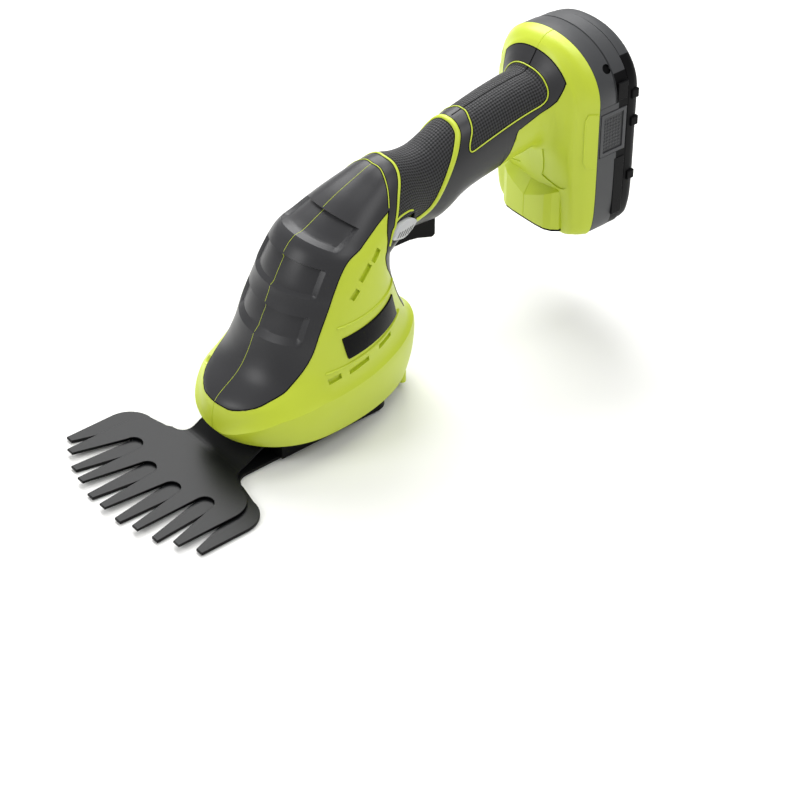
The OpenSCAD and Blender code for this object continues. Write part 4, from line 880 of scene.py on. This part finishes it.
def headSolid(rings):
    # rings are (x, inset) in millimetres
    return ringSolid([headRing(x * mm, inset * mm) for x, inset in rings])


band = {"rings": [(-169.1, 0.3), (-169.5, 0), (-179.5, 0), (-180.6, 0.35), (-181, 1)], "step": 136.9 * mm,
        "opening": [(-164.1, 3), (-186, 3)], "hole": (-178.4 * mm, 32.2 * mm, 155.9 * mm),
        "holeAxis": (0, 0.8, 0.6), "holeRadius": 2.7 * mm, "holeDeep": 2.2 * mm, "holeReach": 6.6 * mm,
        "holeSteps": 32}


def buildBand():
    piece = makePiece("headBand", headSolid(band["rings"]), "shell", "dark_case", "head_band",
                      [darkAbs, blackAbs])
    fixNormals(piece.data)
    cutAway(piece, headSolid(band["opening"]))
    cutAway(piece, blockSolid((head["back"], -head["half"], 0), (head["front"], head["half"], band["step"])))
    axis, centre = Vector(band["holeAxis"]), Vector(band["hole"])
    hole = rodSolid(centre - axis * band["holeDeep"], axis * band["holeReach"], band["holeRadius"],
                    band["holeSteps"])
    cutAway(piece, hole, mirrored(hole))

    # faces in the screw hole take the black: painted shade in the hole
    def inShadedHole(face):
        aside = Vector((face.center.x, abs(face.center.y), face.center.z)) - centre
        return (aside - axis * aside.dot(axis)).length < band["holeRadius"]
    paintFaces(piece, inShadedHole)
    smoothFaces(piece, angle=30)


buildBand()

# Battery: the arch behind the band, the deeper front below the step, and the cover, as (x, inset) in mm.
# Behind twoTone the case is black, up to the grey top of the arch
battery = {"rings": [(-181.1, 0.96), (-181.5, 0.32), (-189.76, 0.32), (-190, 0.56)],
           "frontRings": [(-169.4, 0.64), (-169.8, 0.24), (-183.1, 0.24)],
           "coverRings": [(-190.1, 1.6), (-190.6, 0.8), (-194, 0.8), (-196.5, 1.3), (-198.4, 2.6),
                          (-199.5, 4.4), (-200, 6.4)],
           "cavity": [(-183.3, 2.2), (-195, 2.2)], "hollowLow": (-185.5 * mm, -30 * mm, 60 * mm),
           "hollowHigh": (-171.6 * mm, 30 * mm, 134.3 * mm), "front": -169.4 * mm, "step": 136.5 * mm,
           "twoTone": -184 * mm, "caseGrey": 152 * mm, "coverGrey": 157 * mm}
latch = {"back": -189 * mm, "front": -170.8 * mm, "z": 119.5 * mm, "height": 26 * mm, "out": 38 * mm,
         "skin": 2.2 * mm, "gap": 0.4 * mm, "tongueIn": 29.4 * mm, "tongueOut": 31.4 * mm,
         "tongueTip": -165.6 * mm, "tongueHeight": 16 * mm, "web": 6 * mm, "travel": 2.5 * mm,
         "clear": 5 * mm, "rim": 2.2 * mm, "pad": 37.3 * mm, "pitch": 2.1 * mm, "edge": 0.25 * mm,
         "dot": 0.7 * mm, "dotTop": 0.385 * mm, "dotRise": 0.45 * mm, "dotSink": 0.2 * mm, "dotSteps": 8}


def latchWindow():
    gap = latch["gap"]
    half, tongue = latch["height"] / 2 + gap, latch["tongueHeight"] / 2 + gap
    inward = latch["tongueIn"] - latch["travel"] - gap
    return [blockSolid((latch["back"] - gap, latch["tongueOut"] - gap, latch["z"] - half),
                       (latch["front"] + gap, head["half"], latch["z"] + half)),
            blockSolid((latch["front"] - latch["web"] - gap, inward, latch["z"] - tongue),
                       (battery["front"] + latch["clear"], latch["tongueOut"] + gap, latch["z"] + tongue))]


def buildBattery():
    case = makePiece("batteryCase", headSolid(battery["rings"]), "battery", "dark_case", "battery_case",
                     [darkAbs, blackAbs])
    lower = addSolid("lowerCase", headSolid(battery["frontRings"]))
    for piece in (case, lower):
        fixNormals(piece.data)
    cutAway(lower, blockSolid((head["back"], -head["half"], battery["step"]),
                              (head["front"], head["half"], head["top"])))
    combine(case, lower, "UNION")
    cutAway(case, headSolid(battery["cavity"]))
    cutAway(case, blockSolid(battery["hollowLow"], battery["hollowHigh"]))
    for solid in latchWindow():
        cutAway(case, solid)
        cutAway(case, mirrored(solid))
    paintFaces(case, lambda face: face.center.x < battery["twoTone"] and face.center.z < battery["caseGrey"])
    smoothFaces(case, angle=30)
    cover = makePiece("batteryCover", headSolid(battery["coverRings"]), "battery", "black_case",
                      "battery_cover", [blackAbs, darkAbs])
    fixNormals(cover.data)
    paintFaces(cover, lambda face: face.center.z > battery["coverGrey"])
    smoothFaces(cover, angle=30)


buildBattery()
print("band and battery made")


def latchDot(x, z):
    levels = ((latch["dot"], -latch["dotSink"]), (latch["dot"], 0), (latch["dotTop"], latch["dotRise"]))
    rings = []
    for radius, rise in levels:
        ring = circle(radius, latch["dotSteps"])
        rings.append(np.array([(x + a, latch["pad"] + rise, z + b) for a, b in ring]))
    return ringSolid(rings)


def frameSolid(low, high, rim):
    # a mitred frame in the XZ plane between two opposite corners
    outer = [(low[0], low[2]), (high[0], low[2]), (high[0], high[2]), (low[0], high[2])]
    inward = [(rim, rim), (-rim, rim), (-rim, -rim), (rim, -rim)]
    points = []
    for (x, z), (dx, dz) in zip(outer, inward):
        points += [(x, low[1], z), (x, high[1], z), (x + dx, high[1], z + dz), (x + dx, low[1], z + dz)]
    faces = [[4 * k + j, 4 * k + (j + 1) % 4, (4 * k + 4) % 16 + (j + 1) % 4, (4 * k + 4) % 16 + j]
             for k in range(4) for j in range(4)]
    return points, faces


def buildLatch(name, node, flip):
    half, tongue, rim, pitch = latch["height"] / 2, latch["tongueHeight"] / 2, latch["rim"], latch["pitch"]
    low, high = latch["z"] - half, latch["z"] + half
    tongueLow, tongueHigh = latch["z"] - tongue, latch["z"] + tongue
    inner, back, front = latch["out"] - latch["skin"], latch["back"], latch["front"]
    plate = [frameSolid((back, inner, low), (front, latch["out"], high), rim),
             blockSolid((front - latch["web"], latch["tongueIn"], tongueLow),
                        (front, inner + rim / 3, tongueHigh)),
             blockSolid((front - rim, latch["tongueIn"], tongueLow),
                        (latch["tongueTip"], latch["tongueOut"], tongueHigh))]
    # the sunk field between the dots takes the darker nylon: painted shade, against which the dots keep the
    # frame's tone
    shadedField = blockSolid((back + rim / 2, inner, low + rim / 2),
                       (front - rim / 2, latch["pad"], high - rim / 2))
    across = np.arange(back + rim + pitch, front - rim - pitch / 2, pitch)
    upward = np.arange(low + rim + pitch, high - rim - pitch / 2, pitch)
    dots = gather([latchDot(x, z) for x in across for z in upward])
    looks = [0] * len(gather(plate)[1]) + [1] * len(shadedField[1]) + [0] * len(dots[1])
    solid = gather([*plate, shadedField, dots])
    solid = mirrored(solid) if flip else solid
    piece = makePiece(name, solid, node, "latch_grey", node, [latchNylon, paintedShadeNylon])
    piece.data.polygons.foreach_set("material_index", looks)
    softenEdges(piece, latch["edge"], angle=50)


buildLatch("latchLeft", "latch_left", False)
buildLatch("latchRight", "latch_right", True)

# Bare places on the battery's sides (back x, front x, low z, high z) and lugs along its rear edge (x, z), in
# millimetres
caseTrim = {"strips": [(-189.3, -182.2, 66, 102), (-189.3, -182.2, 137.5, 148)], "out": 38.0, "deep": 1.2,
            "stripEdge": 0.3, "lugs": [(-195, 137.5), (-195.5, 120.5), (-195, 87)], "lug": (5, 2.2, 5.5),
            "lugOut": 38.2, "lugEdge": 0.6}


def buildCaseTrim():
    out, lugOut = caseTrim["out"], caseTrim["lugOut"]
    strips = [blockSolid(Vector((back, out - caseTrim["deep"], low)) * mm, Vector((front, out, high)) * mm)
              for back, front, low, high in caseTrim["strips"]]
    piece = makePiece("bareStrips", gather(strips, True), "battery", "black_case", looks=[blackPlate])
    softenEdges(piece, caseTrim["stripEdge"] * mm)
    size = Vector(caseTrim["lug"])
    middles = [Vector((x, lugOut - size.y / 2, z)) for x, z in caseTrim["lugs"]]
    lugs = [blockSolid((middle - size / 2) * mm, (middle + size / 2) * mm) for middle in middles]
    piece = makePiece("edgeLugs", gather(lugs, True), "battery", "black_case")
    softenEdges(piece, caseTrim["lugEdge"] * mm, segments=3)


buildCaseTrim()

# Trigger paddle: side profile in millimetres from its pin, and its width
trigger = {"pin": (-52.4 * mm, 96.75 * mm), "half": 8 * mm, "edge": 1.4 * mm,
           "profile": [(5.0, -7.2), (5.0, 1.3), (0, 3.0), (-30, -1.6), (-30, -16), (-27.9, -17.3),
                       (-23, -15.6), (-18, -13.8), (-12, -12.7), (-2.7, -12.5), (2.6, -10.6)]}


def buildTrigger():
    outline = [(x * mm, 0, z * mm) for x, z in trigger["profile"]]
    start = (trigger["pin"][0], -trigger["half"], trigger["pin"][1])
    solid = prism(outline, start, (0, 2 * trigger["half"], 0))
    piece = makePiece("triggerPaddle", solid, "trigger", "black_case", "trigger")
    softenEdges(piece, trigger["edge"], segments=4, angle=50)


def lockSlotShade(start):
    # dark slanting slot in the leaf's lower face, drawn as a thin dark strip just proud of the face: painted
    # shade of the slot. In millimetres on the leaf's own plane
    along, low, ridge, _ = np.array(lockLeaf["rows"]).T
    corners = []
    for end, side in ((0, -1), (0, 1), (1, 1), (1, -1)):
        share = lockLeaf["slotRun"][end]
        x = start + side * lockLeaf["slotHalf"] + share * lockLeaf["slotLean"]
        drop = share * np.interp(x, along, ridge - low)
        out = lockLeaf["crown"] - lockLeaf["slant"] * drop
        corners.append(Vector((x, out, np.interp(x, along, ridge) - drop)) * mm)
    sink = lockLeaf["tail"] / 2
    return prism(corners, (0, -sink * mm, 0), (0, (sink + lockLeaf["slotRise"]) * mm, 0))


def buildLock():
    # pale ridged leaf on each side, joined by a bar through the grip, and thin dark strips over its slanting
    # slots as painted shade
    turn = Matrix.Rotation(math.radians(lockLeaf["tilt"]), 4, "Z")
    place = Matrix.Translation((lockLeaf["x"], lockLeaf["y"], lockLeaf["z"])) @ turn
    crown, tail = lockLeaf["crown"], lockLeaf["tail"]
    rings = []
    for along, low, ridge, high in lockLeaf["rows"]:
        deep = -lockLeaf["deep"] if along > lockLeaf["tailAt"] else 0.0
        lowOut = crown - lockLeaf["slant"] * (ridge - low)
        ring = [(0, high), (crown, ridge), (lowOut, low), (min(lowOut - tail, deep), low),
                (min(-tail, deep), high)]
        rings.append(np.array([place @ (Vector((along, y, z)) * mm) for y, z in ring]))
    half = lockLeaf["y"] - lockLeaf["deep"] * mm
    bar = rodSolid((lockLeaf["x"], -half, lockLeaf["z"]), (0, 2 * half, 0), lockLeaf["barR"],
                   lockLeaf["barSteps"])
    solid = gather([gather([ringSolid(rings)], True), bar])
    leaves = makePiece("lockLeaves", solid, "lock", "light_button", "lock_button")
    softenEdges(leaves, lockLeaf["edge"])
    slots = []
    for start in lockLeaf["slots"]:
        points, faces = lockSlotShade(start)
        slots.append(([place @ point for point in points], faces))
    # the slots' dark strips: painted shade, in the darker nylon
    piece = makePiece("lockSlotShades", gather(slots, True), "lock", "light_button", looks=[paintedShadeNylon])
    fixNormals(piece.data)


buildTrigger()
buildLock()
print("latches, trigger and lock made")

# Combs: the same driving sizes as the cut blades. The upper one steps up from its foot to its top
comb = {"pivotX": 31 * mm, "reach": 100 * mm, "pitch": 14.1, "tip": 4.6 * mm, "rootR": 5.2 * mm,
        "rootDepth": 34 * mm, "fan": 0.87, "shoulderAt": 0.53, "shoulderR": 15 * mm, "filletAt": 0.27,
        "filletR": 8 * mm, "steps": 10, "edge": 0.3 * mm, "sharp": 1.0, "level": 0.001 * mm, "flat": 0.5,
        "bendPast": 2 * mm, "bendCuts": 15}
lowerComb = {"teeth": 6, "half": 24 * mm, "low": 0.0, "thick": 1.8 * mm, "back": -36 * mm, "corner": 10 * mm}
upperComb = {"teeth": 5, "half": 22 * mm, "low": 1.95 * mm, "thick": 1.6 * mm, "rise": 8.8 * mm,
             "foot": 64 * mm, "top": 41 * mm, "tail": [(45 * mm, 22 * mm), (28 * mm, 16 * mm)],
             "tailEnd": -7 * mm, "tailR": 6.5 * mm}


def arcPoints(x, y, radius, start, end):
    turns = np.radians(np.linspace(start, end, comb["steps"] + 1))
    return [(x + radius * math.cos(a), y + radius * math.sin(a)) for a in turns]


def tipAt(angle):
    turn = math.radians(angle)
    return comb["pivotX"] + comb["reach"] * math.cos(turn), comb["reach"] * math.sin(turn)


def combOutline(teeth, half, tail):
    outline = []
    for k in range(teeth):
        x, y = tipAt((k - (teeth - 1) / 2) * comb["pitch"])
        outline += [(x, y - comb["tip"] / 2), (x, y + comb["tip"] / 2)]
        if k < teeth - 1:
            x, y = tipAt((k + 0.5 - (teeth - 1) / 2) * comb["pitch"])
            outline += arcPoints(x - comb["rootDepth"], y * comb["fan"], comb["rootR"], 270, 90)
    side = outline[-1][1] - comb["shoulderR"]
    shoulderX, filletX = (comb["pivotX"] + comb[key] * comb["reach"] for key in ("shoulderAt", "filletAt"))
    left = arcPoints(shoulderX, side, comb["shoulderR"], 90, 180)
    left += arcPoints(filletX, half + comb["filletR"], comb["filletR"], 0, -90) + tail
    return outline + left + [(x, -y) for x, y in reversed(left)]


def bendUp(mesh, blade):
    # the tail steps up in a smooth S
    past = comb["bendPast"]
    for x in np.linspace(blade["top"] - past, blade["foot"] + past, comb["bendCuts"]):
        everything = mesh.verts[:] + mesh.edges[:] + mesh.faces[:]
        bmesh.ops.bisect_plane(mesh, geom=everything, plane_co=(x, 0, 0), plane_no=(1, 0, 0))
    for vert in mesh.verts:
        vert.co.z += blade["rise"] * smoothStep((blade["foot"] - vert.co.x) / (blade["foot"] - blade["top"]))


def buildComb(name, blade, tail, carrier, node):
    mesh = bmesh.new()
    outline = combOutline(blade["teeth"], blade["half"], tail)
    base = mesh.faces.new([mesh.verts.new((x, y, blade["low"])) for x, y in outline])
    base.normal_update()
    if base.normal.z > 0:
        base.normal_flip()
    top = bmesh.ops.extrude_face_region(mesh, geom=[base])
    risen = [item for item in top["geom"] if isinstance(item, bmesh.types.BMVert)]
    bmesh.ops.translate(mesh, vec=(0, 0, blade["thick"]), verts=risen)
    bmesh.ops.recalc_face_normals(mesh, faces=mesh.faces)
    level = [edge for edge in mesh.edges if abs(edge.verts[0].co.z - edge.verts[1].co.z) < comb["level"]]
    edges = [edge for edge in level if len(edge.link_faces) == 2 and edge.calc_face_angle(0) > comb["sharp"]]
    bmesh.ops.bevel(mesh, geom=edges, offset=comb["edge"], segments=2, affect="EDGES", profile=0.5)
    if "rise" in blade:
        bendUp(mesh, blade)
    mesh.verts.index_update()
    solid = [vert.co[:] for vert in mesh.verts], [[vert.index for vert in face.verts] for face in mesh.faces]
    mesh.free()
    piece = makePiece(name, solid, carrier, "coated_steel", node, [coatedSteel, shadedSideSteel])
    # upright faces take the blacker coat: painted shade on the blades' cut sides
    paintFaces(piece, lambda face: abs(face.normal.z) < comb["flat"])
    smoothFaces(piece, angle=12)


def buildBlades():
    corner = lowerComb["corner"]
    tail = arcPoints(lowerComb["back"] + corner, lowerComb["half"] - corner, corner, 90, 180)
    buildComb("lowerBlade", lowerComb, tail, "cassette", "lower_blade")
    radius = upperComb["tailR"]
    tail = upperComb["tail"] + arcPoints(upperComb["tailEnd"] + radius, radius, radius, 90, 180)
    buildComb("upperBlade", upperComb, tail, "upper_blade", "upper_blade")


buildBlades()
print("blades made")

# Lime lump low on the head's front, in millimetres. Each row: y, front x, foot z, the front face's top z, and
# the slope's top z. A black lip (y, x) runs under it
headCover = {"rows": [(0, -152.6, 58.5, 72.6, 85.2), (0.5, -152.2, 58.5, 73, 85.5),
                      (9, -152.3, 58.5, 77, 85.5), (15, -152.9, 58.5, 80, 85.3),
                      (19, -154.8, 58.5, 82, 84.9), (22, -158.2, 58.5, 83, 84.2)],
             "wall": -160.6, "rear": -163, "edge": 0.5, "lipLow": 57.0, "lipHigh": 58.6, "lipEdge": 0.3,
             "lip": [(0, -152.8), (9, -152.9), (15, -153.5), (19, -155.4), (22, -158.8)]}


def buildHeadCover():
    rows, wall, rear = headCover["rows"], headCover["wall"], headCover["rear"]
    rings = []
    for y, front, foot, low, top in [(-row[0], *row[1:]) for row in rows[:0:-1]] + rows:
        ring = [(front, foot), (front, low), (wall, top), (rear, top), (rear, foot)]
        rings.append(np.array([(x, y, z) for x, z in ring]) * mm)
    piece = makePiece("headCover", ringSolid(rings), "shell", "lime_shell")
    softenEdges(piece, headCover["edge"] * mm, segments=3, angle=12)
    lip = [(-y, x) for y, x in headCover["lip"][:0:-1]] + headCover["lip"]
    edge = lip + [(lip[-1][0], rear), (lip[0][0], rear)]
    push = (headCover["lipHigh"] - headCover["lipLow"]) * mm
    solid = prism([(x * mm, y * mm, 0) for y, x in edge], (0, 0, headCover["lipLow"] * mm), (0, 0, push))
    piece = makePiece("headLip", solid, "shell", "black_case")
    softenEdges(piece, headCover["lipEdge"] * mm)


buildHeadCover()

# Camera at the photograph's angle, soft studio light and a pale floor
view = {"place": (0.617891, 0.821932, 0.799298), "azimuth": 39.696, "elevation": 37.675, "lens": 109.987,
        "sensor": 36.0}
studio = {"floor": "#F4F4F2", "floorRough": 0.9, "floorHalf": 4.0, "floorZ": -0.5 * mm, "world": 0.5,
          "sky": "#FFFFFF", "aim": (-0.04, 0, 0.07),
          "lamps": [{"place": (-0.4, -0.05, 1.4), "size": 0.6, "power": 5.5},
                    {"place": (1.1, -0.35, 0.75), "size": 0.5, "power": 5.0},
                    {"place": (-0.3, 0.95, 1.3), "size": 0.6, "power": 5.0},
                    {"place": (-0.42, -0.72, 0.88), "size": 0.8, "power": 13.0}]}


def buildCamera():
    az, el = math.radians(view["azimuth"]), math.radians(view["elevation"])
    back = Vector((math.sin(az) * math.cos(el), math.cos(az) * math.cos(el), math.sin(el)))
    right = Vector((-math.cos(az), math.sin(az), 0))
    turn = Matrix((right, back.cross(right), back)).transposed().to_4x4()
    camera = addObject("camera", bpy.data.cameras.new("camera"))
    camera.matrix_world = Matrix.Translation(view["place"]) @ turn
    camera.data.lens, camera.data.sensor_width = view["lens"], view["sensor"]
    bpy.context.scene.camera = camera


def buildStudio():
    for k, lamp in enumerate(studio["lamps"]):
        light = bpy.data.lights.new(f"softbox{k}", "AREA")
        light.energy, light.size = lamp["power"], lamp["size"]
        holder = addObject(f"softbox{k}", light)
        holder.location = lamp["place"]
        holder.rotation_euler = (Vector(studio["aim"]) - holder.location).to_track_quat("-Z", "Y").to_euler()
    world = bpy.data.worlds.new("studio")
    world.use_nodes = True
    sky = world.node_tree.nodes["Background"].inputs
    sky["Strength"].default_value = studio["world"]
    sky["Color"].default_value = toLinear(studio["sky"])
    bpy.context.scene.world = world
    half = studio["floorHalf"]
    corners = [(x * half, y * half, studio["floorZ"]) for x, y in ((-1, -1), (1, -1), (1, 1), (-1, 1))]
    floor = addSolid("floor", (corners, [[0, 1, 2, 3]]))
    paper, _, _ = newMaterial("floorPaper", studio["floor"], {"Roughness": studio["floorRough"]})
    floor.data.materials.append(paper)
    bpy.context.scene.view_settings.view_transform = "Standard"


buildCamera()
buildStudio()
print("camera, lights and floor made")
